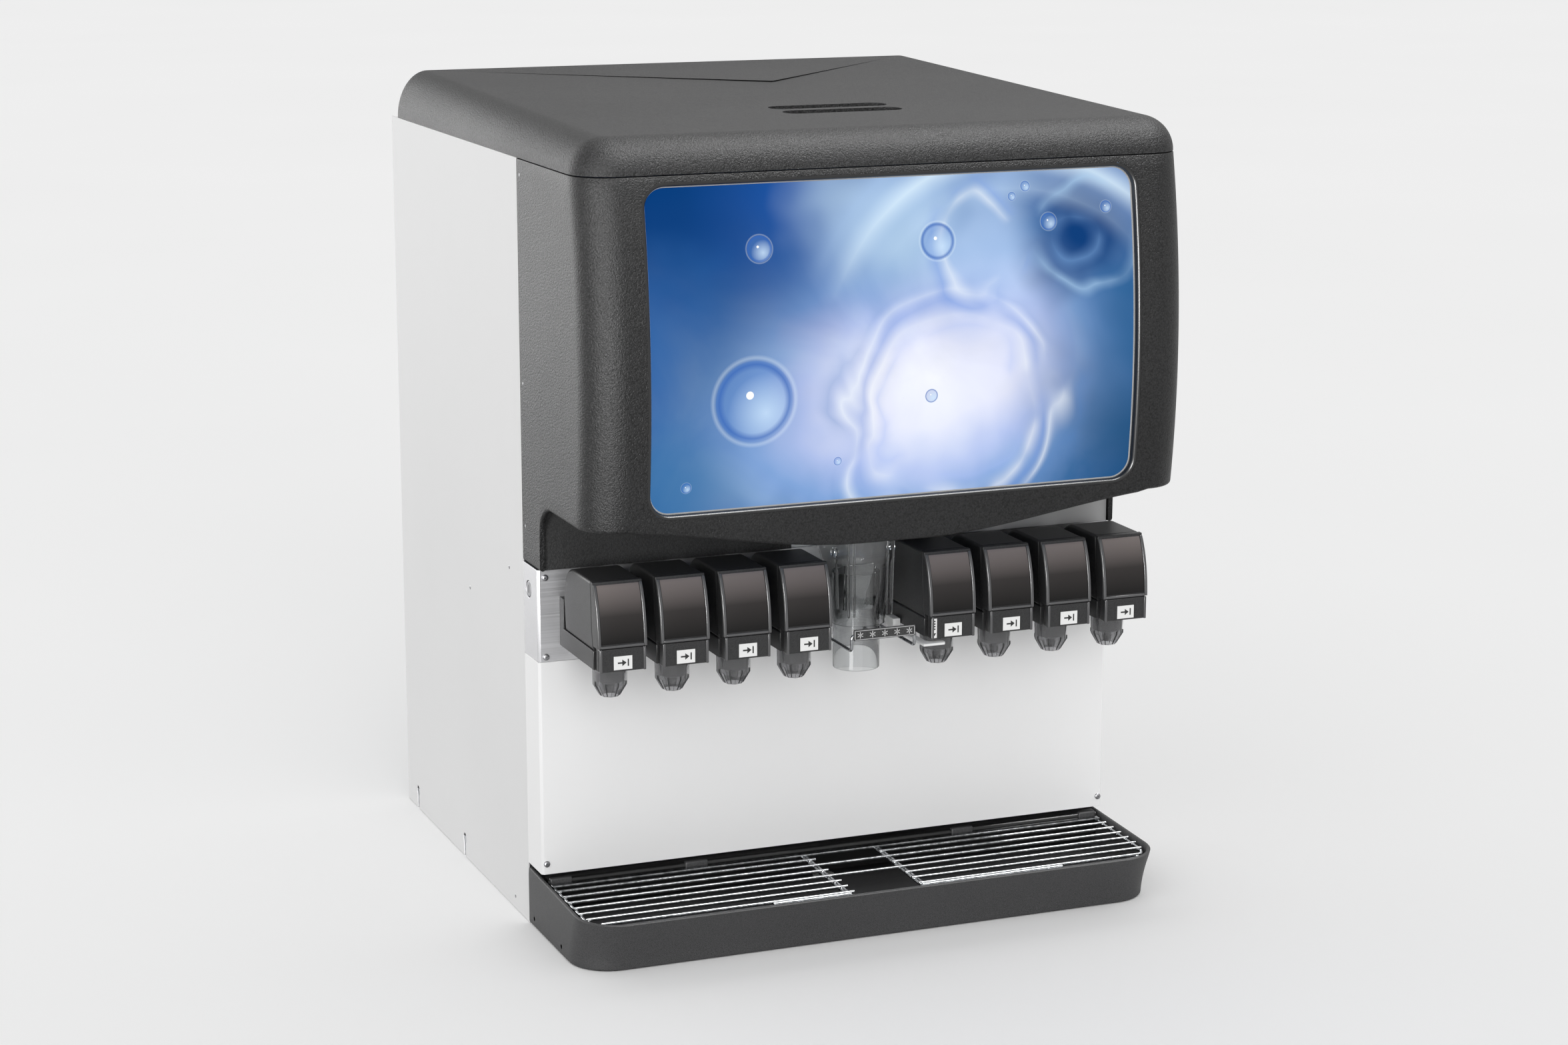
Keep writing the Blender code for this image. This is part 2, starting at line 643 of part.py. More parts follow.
def valves():
    patterns = valve_meshes()
    for number in range(8):
        side, step = (-1, 3 - number) if number < 4 else (1, number - 4)
        x = TAP_CENTRE + side * (TAP_INNER + step * TAP_PITCH)
        for pattern in patterns:
            name = f"{pattern.name}_{number + 1}"
            place(name, pattern.data, pattern.data.materials[0].name, (x, 0, 0))
    for pattern in patterns:
        bpy.data.objects.remove(pattern, do_unlink=True)


def water_lever():
    """White tab under the fifth valve that pours plain water when it is pressed back."""
    left = TAP_CENTRE + TAP_INNER - VALVE_HALF - 11
    right, thick = left + 10.0, 3.0
    high = VALVE_BOTTOM - 3
    front, rear = KEY_FRONT - 5, SIDE_FRONT - 90
    outline = [(left, rear), (left, front), (left + 28, front), (left + 30, front + 4),
               (left + 30, front + 11), (right + 3, front + 13), (right, front + 18),
               (right, rear)]
    lever = make("water_lever", prism_z(outline, high - thick, high), "white_plastic")
    lug = box((left, rear - 22, high - 1), (right, rear, high + 10))
    boolean(lever, make("lug", lug, "white_plastic"), "UNION")


# Ice path

def chute_loop(z, half_x, front, back, corner, wall=0.0, arc=4):
    """Level loop of the chute: a rectangle whose corners may be rounded to a circle."""
    half_x, front, back = half_x - wall, front + wall, back - wall
    radius = max(corner - wall, 0.5)
    points = []
    spots = [(half_x - radius, back - radius, 0), (-half_x + radius, back - radius, 90),
             (-half_x + radius, front + radius, 180), (half_x - radius, front + radius, 270)]
    for x, y, start in spots:
        for step in range(arc + 1):
            a = math.radians(start + 88 * step / arc + 1)
            points.append((TAP_CENTRE + x + radius * math.cos(a), y + radius * math.sin(a), z))
    return points


def ice_chute():
    """Clear hood from the hopper's gate down to the round spout."""
    back = SPLASH - 0.6
    stations = [(378.0, 43.0, CHUTE_Y - 43, CHUTE_Y + 43, 42.0),
                (450.0, 43.5, CHUTE_Y - 44, CHUTE_Y + 44, 34.0),
                (500.0, 46.0, CHUTE_Y - 44, back - 6, 20.0),
                (560.0, 50.0, CHUTE_Y - 42, back, 10.0),
                (690.0, 50.0, CHUTE_Y - 20, back, 10.0)]
    wall = 3.0
    outer = [chute_loop(*station) for station in stations]
    inner = [chute_loop(*station, wall=wall) for station in reversed(stations)]
    inner[0] = [(x, y, z - wall) for x, y, z in inner[0]]
    bm = bmesh.new()
    rings = [[bm.verts.new(point) for point in loop] for loop in outer + inner]
    for first, second in zip(rings, rings[1:]):
        if first is not rings[len(outer) - 1]:
            bridge(bm, first, second)
    bm.faces.new(rings[len(outer) - 1])
    bm.faces.new(rings[len(outer)])
    bridge(bm, rings[-1], rings[0])
    chute = make("ice_chute", bm, "clear", smooth=True)
    gate = box((TAP_CENTRE - GATE_HALF - 2, back - 10, GATE_BOTTOM - 3),
               (TAP_CENTRE + GATE_HALF + 2, back + 10, GATE_TOP + 8))
    boolean(chute, make("gate_hole", gate, "clear"))


def ice_spout():
    """Round clear tube that drops the ice into the cup, hung inside the hood."""
    profile = [(33, 440), (33, CHUTE_BOTTOM), (30.5, CHUTE_BOTTOM), (30.5, 440)]
    make("ice_spout", lathe(profile, (TAP_CENTRE, CHUTE_Y), 32), "clear", smooth=True)


def ice_gate():
    """Flap over the hopper's opening, hinged along its top edge."""
    x, y, z = GATE_HINGE
    outline = [(y - 1.5, GATE_BOTTOM), (y + 1.5, GATE_BOTTOM), (y + 1.5, z + 2),
               (y - 1.5, z + 2)]
    half = GATE_HALF - 1
    make("ice_gate", prism_x(outline, x - half, x + half), "stainless", GATE_HINGE)


def wire_path():
    """Right half of the ice lever's wire from the middle of the plate back into the cabinet."""
    x, bend = LEVER_ARM, 5.0
    front, z, high = KEY_FRONT - 3.5, LEVER_HEIGHT, 382.0
    points = [(0, front, high), (x - bend, front, high)]
    for step in range(1, 5):
        a = math.radians(90 - 90 * step / 4)
        points.append((x - bend + bend * math.cos(a), front, high - bend + bend * math.sin(a)))
    for step in range(5):
        a = math.radians(180 + 90 * step / 4)
        points.append((x, front + bend + bend * math.cos(a), z + bend + bend * math.sin(a)))
    points.append((x, SPLASH + 22, z))
    return points


def ice_lever():
    """Bent wire that slides through the mount plate, with the push plate on its front."""
    right = wire_path()
    left = [(-x, y, z) for x, y, z in reversed(right[1:])]
    curve = bpy.data.curves.new("wire", "CURVE")
    curve.dimensions = "3D"
    curve.bevel_depth = 2.0 * MM
    curve.bevel_resolution = 2
    curve.use_fill_caps = True
    spline = curve.splines.new("POLY")
    points = left + right
    spline.points.add(len(points) - 1)
    for spot, (x, y, z) in zip(spline.points, points):
        spot.co = ((x + TAP_CENTRE) * MM, y * MM, z * MM, 1.0)
    wire = bpy.data.objects.new("wire", curve)
    bpy.context.scene.collection.objects.link(wire)
    depsgraph = bpy.context.evaluated_depsgraph_get()
    mesh = bpy.data.meshes.new_from_object(wire.evaluated_get(depsgraph))
    bpy.data.objects.remove(wire, do_unlink=True)
    place("ice_lever_wire", mesh, "stainless", smooth=True)
    front = KEY_FRONT - 3.5 - 2.0 - GAP
    plate = box((TAP_CENTRE - 40, front - 2.5, 375.5), (TAP_CENTRE + 40, front, 389))
    make("ice_lever_plate", plate, "dark_plastic")


def ice_hopper():
    """Insulated ice bin, with a flange that covers the cabinet's top."""
    lip = SPLASH + 2 * SHEET + 1.0
    front, back = lip + 4.0, SIDE_FRONT + 505
    floor = HOPPER_BOTTOM + HOPPER_WALL
    top, under = CABINET_HEIGHT - 1.4, CABINET_HEIGHT - 4.4

    def rectangle(inset, z, half=HOPPER_HALF, near=front, far=back):
        return [(-half + inset, near + inset, z), (half - inset, near + inset, z),
                (half - inset, far - inset, z), (-half + inset, far - inset, z)]

    flange = {"half": HALF - CANOPY_WALL - 1, "near": lip, "far": REAR - SHEET - GAP}
    loops = [rectangle(0, HOPPER_BOTTOM), rectangle(0, under), rectangle(0, under, **flange),
             rectangle(0, top, **flange), rectangle(HOPPER_WALL, top),
             rectangle(HOPPER_WALL, floor)]
    hopper = make("ice_hopper", loft(loops), "white_plastic")
    opening = box((TAP_CENTRE - GATE_HALF, front - 5, GATE_BOTTOM),
                  (TAP_CENTRE + GATE_HALF, front + HOPPER_WALL + 5, GATE_TOP))
    boolean(hopper, make("opening", opening, "white_plastic"))
    bore = rod((TAP_CENTRE, AGITATOR_Y, HOPPER_BOTTOM - 5), (TAP_CENTRE, AGITATOR_Y, floor + 5),
               10.0)
    boolean(hopper, make("bore", bore, "white_plastic"))


def cold_plate():
    low, high, chamfer = 546.0, HOPPER_BOTTOM - GAP, 4.0
    x, front, back = 300.0, SIDE_FRONT + 230, SIDE_FRONT + 490
    loops = []
    for inset, z in ((chamfer, low), (0, low + chamfer), (0, high - chamfer), (chamfer, high)):
        loops.append([(-x + inset, front + inset, z), (x - inset, front + inset, z),
                      (x - inset, back - inset, z), (-x + inset, back - inset, z)])
    make("cold_plate", loft(loops), "aluminium")


def agitator():
    """Four-armed paddle on an upright shaft."""
    floor = HOPPER_BOTTOM + HOPPER_WALL
    arm, low, high = 7.0, floor + 6, floor + 18
    centre = Vector((TAP_CENTRE, AGITATOR_Y, 0))
    outline = []
    for quarter in range(4):
        a = math.radians(90 * quarter)
        along, across = Vector((math.cos(a), math.sin(a), 0)), Vector((-math.sin(a), math.cos(a), 0))
        for forward, sideways in ((arm, -arm), (AGITATOR_RADIUS, -arm), (AGITATOR_RADIUS, arm)):
            point = centre + along * forward + across * sideways
            outline.append((point.x, point.y))
    paddle = make("agitator", prism_z(outline, low, high), "stainless",
                  (TAP_CENTRE, AGITATOR_Y, low))
    profile = [(0, floor + 60), (14, floor + 52), (20, low - 3), (8, low - 3), (8, 560), (0, 560)]
    shaft = make("shaft", lathe(profile, (TAP_CENTRE, AGITATOR_Y), 20), "stainless")
    boolean(paddle, shaft, "UNION")


def agitator_motor():
    top = HOPPER_BOTTOM - GAP
    profile = [(9, top), (58, top), (58, 535), (40, 535), (40, 455), (0, 455), (0, 552), (9, 552)]
    motor = lathe(profile, (TAP_CENTRE, AGITATOR_Y), 24)
    make("agitator_motor", motor, "black_metal", smooth=True)


def main():
    clear_scene()
    side_panels()
    rear_panel()
    base_pan()
    splash_panel()
    valve_mount_plate()
    key_switch()
    front_bulkhead()
    canopy_housing()
    canopy_liner()
    graphic_frame()
    graphic_panel()
    lighting()
    lid()
    drip_tray()
    drain_fitting()
    cup_rest_grid()
    valves()
    water_lever()
    ice_chute()
    ice_spout()
    ice_gate()
    ice_lever()
    ice_hopper()
    cold_plate()
    agitator()
    agitator_motor()


main()
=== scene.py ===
"""Looks of the countertop ice and soda dispenser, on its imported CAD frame.

Lengths in the builders are in millimetres, in the frame's own axes: +X to the right seen from
the front, the customer stands at -Y, +Z up, origin on the counter under the middle of the box.
"""
import math

import bmesh
import bpy
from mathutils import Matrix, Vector


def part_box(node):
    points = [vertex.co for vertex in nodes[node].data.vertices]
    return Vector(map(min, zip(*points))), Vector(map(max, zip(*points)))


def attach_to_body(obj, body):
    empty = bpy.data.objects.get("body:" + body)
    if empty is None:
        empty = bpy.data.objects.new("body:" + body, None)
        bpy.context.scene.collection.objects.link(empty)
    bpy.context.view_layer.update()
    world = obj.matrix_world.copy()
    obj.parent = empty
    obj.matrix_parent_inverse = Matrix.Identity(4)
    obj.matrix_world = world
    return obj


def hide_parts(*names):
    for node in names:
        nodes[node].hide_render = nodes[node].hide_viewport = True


MM = 0.001
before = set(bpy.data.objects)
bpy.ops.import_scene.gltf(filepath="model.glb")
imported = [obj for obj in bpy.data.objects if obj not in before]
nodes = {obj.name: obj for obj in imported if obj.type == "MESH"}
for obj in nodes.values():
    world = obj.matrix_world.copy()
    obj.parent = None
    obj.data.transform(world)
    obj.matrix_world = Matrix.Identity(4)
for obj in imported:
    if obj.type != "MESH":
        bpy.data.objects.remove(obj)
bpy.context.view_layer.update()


def corners(node):
    """Lowest and highest corner of a CAD node, in millimetres."""
    low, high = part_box(node)
    return Vector(low) / MM, Vector(high) / MM


# Driving dimensions, from the frame where it has them
SIDE_LOW, SIDE_HIGH = corners("right_side_panel")
HALF = SIDE_HIGH.x
SIDE_FRONT, REAR = SIDE_LOW.y, SIDE_HIGH.y
SPLASH = corners("splash_panel")[0].y
CANOPY_LOW, CANOPY_HIGH = corners("canopy_housing")
TRAY_LOW, TRAY_HIGH = corners("drip_tray")
LID_LOW, LID_HIGH = corners("lid")
SPOUT_LOW, SPOUT_HIGH = corners("ice_spout")
HOOD_LOW, HOOD_HIGH = corners("ice_chute")
WIRE_LOW, WIRE_HIGH = corners("ice_lever_wire")
TAP_CENTRE = (SPOUT_LOW.x + SPOUT_HIGH.x) / 2
CHUTE_Y = (SPOUT_LOW.y + SPOUT_HIGH.y) / 2

# Canopy front: a shallow parabola in side view, and its arches and droop
NOSE = -REAR
NOSE_HEIGHT = 705.0
NOSE_CURVE = 4.4e-4
CANOPY_CORNER = 48.0
CHEEK = 67.0
ARCH_RADIUS = 40.0
ARCH_HEIGHT = 541.0
DROOP = 37.5
WINDOW_HALF = 307.0
WINDOW_BOTTOM = 558.0
WINDOW_TOP = 932.7
WINDOW_CORNER = 25.0

# Lid
LID_FRONT_HEIGHT = 988.0
LID_ROUND = 42.0
LID_CROWN = 1.4

# Wire rack
RACK_HALF = corners("cup_rest_grid")[1].x
RACK_BACK = SIDE_FRONT - 64.0
RACK_FRONT = SIDE_FRONT - 216.0
RACK_PITCH = 20.5

# Valves
VALVE_HALF = 30.5
VALVE_SEAM = 388.0
KEY_TOP = 393.0
VALVE_TOP = 469.5
KEY_FRONT = SIDE_FRONT - 199.6
NOZZLE_Y = SIDE_FRONT - 150.0


def nose(z):
    """y of the canopy's front at a height."""
    return NOSE + NOSE_CURVE * (z - NOSE_HEIGHT) ** 2


def smoothstep(t):
    t = min(max(t, 0.0), 1.0)
    return t * t * (3 - 2 * t)


# Materials

class Shader:
    """A node tree builder: each call adds one node and links its inputs."""

    def __init__(self, name):
        self.material = bpy.data.materials.new(name)
        self.material.use_nodes = True
        self.tree = self.material.node_tree
        self.bsdf = self.tree.nodes["Principled BSDF"]
        self.coords = None

    def node(self, kind, inputs=(), **settings):
        made = self.tree.nodes.new(kind)
        for key, value in settings.items():
            setattr(made, key, value)
        for key, value in dict(inputs).items():
            if isinstance(value, bpy.types.NodeSocket):
                self.tree.links.new(value, made.inputs[key])
            else:
                made.inputs[key].default_value = value
        return made

    def position(self):
        """Object coordinates, in metres, which are the row frame's at rest."""
        if self.coords is None:
            self.coords = self.node("ShaderNodeTexCoord").outputs["Object"]
        return self.coords

    def stretched(self, scale):
        return self.node("ShaderNodeMapping", {"Vector": self.position(),
                                               "Scale": scale}).outputs["Vector"]

    def noise(self, scale, detail=2.0, roughness=0.5, vector=None, distortion=0.0):
        inputs = {"Vector": vector or self.position(), "Scale": scale, "Detail": detail,
                  "Roughness": roughness, "Distortion": distortion}
        return self.node("ShaderNodeTexNoise", inputs).outputs["Fac"]

    def math(self, operation, a, b=0.0, c=0.0, clamp=False):
        made = self.node("ShaderNodeMath", {0: a, 1: b, 2: c}, operation=operation,
                         use_clamp=clamp)
        return made.outputs[0]

    def ramp(self, factor, stops):
        """Colour ramp: stops are (position, colour), a colour being a grey or an RGB."""
        made = self.node("ShaderNodeValToRGB", {"Fac": factor})
        elements = made.color_ramp.elements
        while len(elements) < len(stops):
            elements.new(0.5)
        for element, (place, colour) in zip(elements, stops):
            element.position = place
            colour = (colour,) * 3 if isinstance(colour, float) else colour
            element.color = (*colour, 1.0)
        return made.outputs["Color"]

    def mix(self, factor, a, b, blend="MIX"):
        made = self.node("ShaderNodeMix", data_type="RGBA", blend_type=blend)
        for index, value in ((0, factor), (6, a), (7, b)):
            if isinstance(value, bpy.types.NodeSocket):
                self.tree.links.new(value, made.inputs[index])
            elif isinstance(value, tuple):
                made.inputs[index].default_value = (*value, 1.0)
            else:
                made.inputs[index].default_value = value
        return made.outputs[2]

    def link(self, socket, name):
        self.tree.links.new(socket, self.bsdf.inputs[name])

    def bump(self, height, strength, distance):
        inputs = {"Height": height, "Strength": strength, "Distance": distance}
        return self.node("ShaderNodeBump", inputs).outputs["Normal"]

    def set(self, **values):
        """Constant values straight on the shader's own sockets."""
        names = {"rough": "Roughness", "metal": "Metallic", "ior": "IOR",
                 "clear": "Transmission Weight", "spec": "Specular IOR Level",
                 "glow": "Emission Strength"}
        for key, value in values.items():
            self.bsdf.inputs[names[key]].default_value = value
        return self.material


def grained_plastic(name, dark, light, rough=0.55, grain=440.0, strength=0.55, mottle=0.5,
                    spec=0.32):
    """Moulded plastic with a pebble grain, whose pits are coloured darker than its bumps: painted
    shade in the pits and painted sparkle on the bumps.
    """
    s = Shader(name)
    pebbles = s.node("ShaderNodeTexVoronoi", {"Vector": s.position(), "Scale": grain},
                     feature="SMOOTH_F1").outputs["Distance"]
    specks = s.noise(grain * 1.6, 2.0, 0.65)
    height = s.math("SUBTRACT", specks, s.math("MULTIPLY", pebbles, 0.55))
    broad = s.noise(3.0, 3.0, 0.55)
    shade = s.math("ADD", s.math("MULTIPLY", height, 1.6), s.math("MULTIPLY", broad, mottle))
    # painted shade and sparkle: grain height takes the ramp's dark end in the pits and its light
    # end on the bumps; the broad mottle is the plastic's own tone
    s.link(s.ramp(shade, [(0.30, dark), (0.95, light)]), "Base Color")
    s.link(s.math("MULTIPLY_ADD", broad, 0.16, rough - 0.08), "Roughness")
    s.link(s.bump(height, strength, 0.0006), "Normal")
    return s.set(spec=spec)


def powder_coat(name, colour, rough, spec=0.4):
    """Satin powder coat: faint orange peel and very slight cloudiness."""
    s = Shader(name)
    cloud = s.noise(2.2, 4.0, 0.6)
    low = tuple(c * 0.965 for c in colour)
    s.link(s.ramp(cloud, [(0.30, low), (0.75, colour)]), "Base Color")
    peel = s.noise(900.0, 2.0, 0.5)
    s.link(s.math("MULTIPLY_ADD", cloud, 0.10, rough - 0.05), "Roughness")
    s.link(s.bump(peel, 0.10, 0.0002), "Normal")
    return s.set(spec=spec)


def brushed_metal(name, colour, rough, along="X"):
    """Brushed steel: fine streaks along one axis in its colour, roughness and bump."""
    s = Shader(name)
    scale = [6.0 if axis == along else 1500.0 for axis in "XYZ"]
    streaks = s.noise(1.0, 3.0, 0.6, vector=s.stretched(scale))
    cloud = s.noise(9.0, 3.0, 0.6)
    low = tuple(c * 0.82 for c in colour)
    s.link(s.ramp(streaks, [(0.32, low), (0.68, colour)]), "Base Color")
    s.link(s.math("ADD", s.math("MULTIPLY_ADD", streaks, 0.16, rough - 0.12),
                  s.math("MULTIPLY", cloud, 0.08)), "Roughness")
    s.link(s.bump(streaks, 0.12, 0.0002), "Normal")
    return s.set(metal=1.0)


def plated_wire(name):
    """Bright plated wire with slight waviness."""
    s = Shader(name)
    ripple = s.noise(160.0, 3.0, 0.6)
    s.link(s.ramp(ripple, [(0.30, (0.14, 0.145, 0.15)), (0.70, (0.44, 0.45, 0.46))]),
           "Base Color")
    s.link(s.math("MULTIPLY_ADD", ripple, 0.20, 0.08), "Roughness")
    s.link(s.bump(ripple, 0.10, 0.0006), "Normal")
    return s.set(metal=1.0)


def galvanised(name):
    """Zinc-plated sheet with a faint spangle."""
    s = Shader(name)
    spangle = s.node("ShaderNodeTexVoronoi", {"Vector": s.position(), "Scale": 70.0})
    tone = s.ramp(spangle.outputs["Color"], [(0.1, (0.40, 0.41, 0.42)), (0.9, (0.58, 0.59, 0.60))])
    s.link(tone, "Base Color")
    s.link(s.math("MULTIPLY_ADD", s.noise(40.0), 0.20, 0.34), "Roughness")
    return s.set(metal=0.9)


def smooth_plastic(name, colour, rough, streak=0.06):
    """Plain moulded plastic with very faint flow marks."""
    s = Shader(name)
    flow = s.noise(28.0, 3.0, 0.55)
    low = tuple(c * (1 - streak) for c in colour)
    s.link(s.ramp(flow, [(0.35, low), (0.70, colour)]), "Base Color")
    s.link(s.math("MULTIPLY_ADD", flow, 0.08, rough - 0.04), "Roughness")
    s.link(s.bump(s.noise(700.0, 2.0), 0.05, 0.0002), "Normal")
    return s.set(spec=0.5)


def clear_plastic(name, colour, rough=0.03, clear=1.0, ior=1.45, waves=26.0, strength=0.10):
    """Clear or smoky moulded plastic with gentle waves in its surface."""
    s = Shader(name)
    wave = s.noise(waves, 2.0, 0.5)
    s.link(s.bump(wave, strength, 0.002), "Normal")
    low = tuple(c * 0.94 for c in colour)
    s.link(s.ramp(wave, [(0.3, low), (0.7, colour)]), "Base Color")
    return s.set(rough=rough, clear=clear, ior=ior)


def valve_label(name):
    """Glossy insert, printed with a gradient from dark at its foot to warm grey at its head, its
    head made lighter still as painted light against the shade under the canopy.
    """
    s = Shader(name)
    height = s.node("ShaderNodeSeparateXYZ", {"Vector": s.position()}).outputs["Z"]
    share = s.node("ShaderNodeMapRange", {"Value": height, "From Min": 0.393,
                                          "From Max": 0.468}).outputs["Result"]
    # printed gradient, its upper stops raised as painted light where the canopy shades the label
    s.link(s.ramp(share, [(0.0, (0.005, 0.005, 0.005)), (0.50, (0.035, 0.031, 0.030)),
                          (1.0, (0.210, 0.182, 0.174))]), "Base Color")
    haze = s.noise(60.0, 2.0)
    s.link(s.math("MULTIPLY_ADD", haze, 0.06, 0.30), "Roughness")
    return s.set(spec=0.14)


ART_CENTRE = (0.045, 0.695)      # (x, z) of the picture's brightest place
# Bubbles: (x, z, radius)
BUBBLES = [
    (-0.170, 0.858, 0.0150), (-0.180, 0.684, 0.047), (0.052, 0.856, 0.021),
    (0.168, 0.914, 0.006), (0.150, 0.903, 0.005), (0.196, 0.872, 0.010),
    (0.272, 0.886, 0.007), (0.042, 0.676, 0.008), (-0.262, 0.588, 0.006),
    (-0.075, 0.606, 0.005)]
# Cloudy patches: (x, z, reach, strength, colour)
VEILS = [
    (-0.30, 0.955, 0.36, 1.0, (0.0, 0.045, 0.20)),
    (-0.07, 0.965, 0.22, 0.75, (0.012, 0.09, 0.38)),
    (0.315, 0.600, 0.20, 0.90, (0.012, 0.075, 0.19)),
    (0.330, 0.770, 0.17, 0.85, (0.020, 0.11, 0.28)),
    (-0.315, 0.570, 0.13, 0.75, (0.03, 0.16, 0.38)),
    (-0.330, 0.760, 0.16, 0.60, (0.035, 0.15, 0.42)),
    (-0.010, 0.880, 0.13, 0.65, (0.55, 0.74, 0.90)),
    (0.110, 0.850, 0.10, 0.55, (0.50, 0.66, 0.92)),
    (0.245, 0.860, 0.095, 1.0, (0.002, 0.045, 0.19))]
# Curved lines of light and shade in the water: (x, z, radius, width, sway, lowest z, colour,
# strength); the swaying ones fade towards the top instead
SWIRLS = [
    (0.15, 0.70, 0.252, 0.060, 0.010, 0.790, (0.45, 0.64, 0.94), 0.60),
    (0.15, 0.70, 0.250, 0.022, 0.010, 0.790, (0.78, 0.93, 1.0), 0.60),
    (0.15, 0.70, 0.212, 0.022, 0.010, 0.820, (0.60, 0.78, 0.97), 0.35),
    (0.15, 0.70, 0.282, 0.020, 0.010, 0.820, (0.40, 0.58, 0.88), 0.30),
    (0.070, 0.655, 0.122, 0.026, 0.085, 0.760, (0.20, 0.33, 0.72), 0.45),
    (0.070, 0.655, 0.106, 0.016, 0.080, 0.700, (0.97, 0.99, 1.0), 0.50),
    (0.070, 0.655, 0.136, 0.014, 0.120, 0.720, (0.93, 0.98, 1.0), 0.50),
    (0.070, 0.655, 0.086, 0.014, 0.110, 0.700, (0.40, 0.52, 0.90), 0.36),
    (0.070, 0.655, 0.154, 0.020, 0.130, 0.700, (0.08, 0.22, 0.52), 0.34),
    (0.105, 0.845, 0.060, 0.014, 0.080, 0.900, (0.22, 0.36, 0.76), 0.50),
    (0.105, 0.845, 0.048, 0.012, 0.080, 0.900, (0.92, 0.97, 1.0), 0.50),
    (0.240, 0.850, 0.064, 0.013, 0.090, 0.930, (0.42, 0.64, 0.88), 0.50),
    (0.228, 0.850, 0.030, 0.014, 0.060, 0.930, (0.20, 0.40, 0.74), 0.40)]


def water_art(name):
    """Backlit picture of bright water: deep blue corners, pale swirls and round bubbles."""
    s = Shader(name)
    split = s.node("ShaderNodeSeparateXYZ", {"Vector": s.position()})
    x, z = split.outputs["X"], split.outputs["Z"]
    flat = s.node("ShaderNodeCombineXYZ", {"X": x, "Y": 0.0, "Z": z}).outputs["Vector"]

    def distance(cx, cz, squash=1.0):
        dx = s.math("MULTIPLY", s.math("SUBTRACT", x, cx), squash)
        dz = s.math("SUBTRACT", z, cz)
        return s.math("SQRT", s.math("ADD", s.math("MULTIPLY", dx, dx),
                                     s.math("MULTIPLY", dz, dz)))

    def band(value, middle, width):
        """1 where a value is at the middle of a band, fading to 0 at its edges."""
        away = s.math("ABSOLUTE", s.math("SUBTRACT", value, middle))
        return s.math("SUBTRACT", 1.0, s.math("DIVIDE", away, width), clamp=True)

    def fade(value, start, end):
        """0 at one value, rising smoothly to 1 at another."""
        return s.node("ShaderNodeMapRange", {"Value": value, "From Min": start, "From Max": end},
                      interpolation_type="SMOOTHSTEP").outputs["Result"]

    warp = s.noise(4.5, 3.0, 0.55, vector=flat)
    broken = fade(s.noise(11.0, 2.0, 0.5, vector=flat), 0.36, 0.60)
    away = distance(*ART_CENTRE, squash=0.66)
    depth = s.math("ADD", away, s.math("MULTIPLY_ADD", warp, 0.16, -0.08))
    base = s.ramp(depth, [(0.0, (1.0, 1.0, 1.0)), (0.055, (0.86, 0.87, 0.99)),
                          (0.105, (0.50, 0.59, 0.88)), (0.150, (0.22, 0.38, 0.68)),
                          (0.195, (0.075, 0.20, 0.43)), (0.26, (0.012, 0.075, 0.26))])
    cloud = s.noise(6.0, 4.0, 0.5, vector=flat, distortion=0.9)
    tint = s.ramp(cloud, [(0.36, (0.04, 0.17, 0.50)), (0.50, (0.30, 0.42, 0.82)),
                          (0.68, (0.66, 0.82, 1.0))])
    base = s.mix(0.16, base, tint)
    for cx, cz, size, strength, tone in VEILS:
        far = s.math("ADD", distance(cx, cz), s.math("MULTIPLY_ADD", warp, 0.20, -0.10))
        base = s.mix(s.math("MULTIPLY", fade(far, 1.05 * size, 0.15 * size), strength), base, tone)
    for cx, cz, radius, width, sway, low, tone, strength in SWIRLS:
        wave = s.noise(7.0, 1.5, 0.5, vector=flat, distortion=0.8)
        round_ = s.math("ADD", distance(cx, cz), s.math("MULTIPLY_ADD", wave, sway, -sway / 2))
        upper = s.math("MULTIPLY_ADD", z, 8.0, -8.0 * low, clamp=True)
        lower = s.math("MULTIPLY_ADD", z, -8.0, 8.0 * low + 1.0, clamp=True)
        gate = upper if sway < 0.02 else s.math("MULTIPLY", lower, broken)
        line = s.math("POWER", band(round_, radius, width), 1.6)
        base = s.mix(s.math("MULTIPLY", s.math("MULTIPLY", line, gate), strength), base, tone)
    colour = base
    for cx, cz, radius in BUBBLES:
        gap = s.math("DIVIDE", distance(cx, cz), radius)
        inside = s.math("LESS_THAN", gap, 1.0)
        crescent = s.math("DIVIDE", distance(cx + 0.30 * radius, cz - 0.30 * radius), radius)
        glow = s.math("MULTIPLY", s.math("SUBTRACT", 1.0, crescent, clamp=True), inside)
        spark = s.math("LESS_THAN", distance(cx - 0.12 * radius, cz + 0.16 * radius),
                       radius * 0.10)
        for mask, strength, tone in ((inside, 0.34, (0.10, 0.25, 0.64)),
                                     (glow, 0.75, (0.62, 0.80, 0.99)),
                                     (band(gap, 0.92, 0.14), 0.72, (0.035, 0.13, 0.47)),
                                     (band(gap, 1.08, 0.08), 0.25, (0.80, 0.92, 1.0))):
            colour = s.mix(s.math("MULTIPLY", mask, strength), colour, tone)
        colour = s.mix(spark, colour, (0.97, 0.99, 1.0))
    s.link(colour, "Emission Color")
    s.link(s.mix(0.93, colour, (0.0, 0.0, 0.0)), "Base Color")
    return s.set(rough=0.40, glow=0.96, spec=0.04)


def grey(value):
    return (value, value, value)


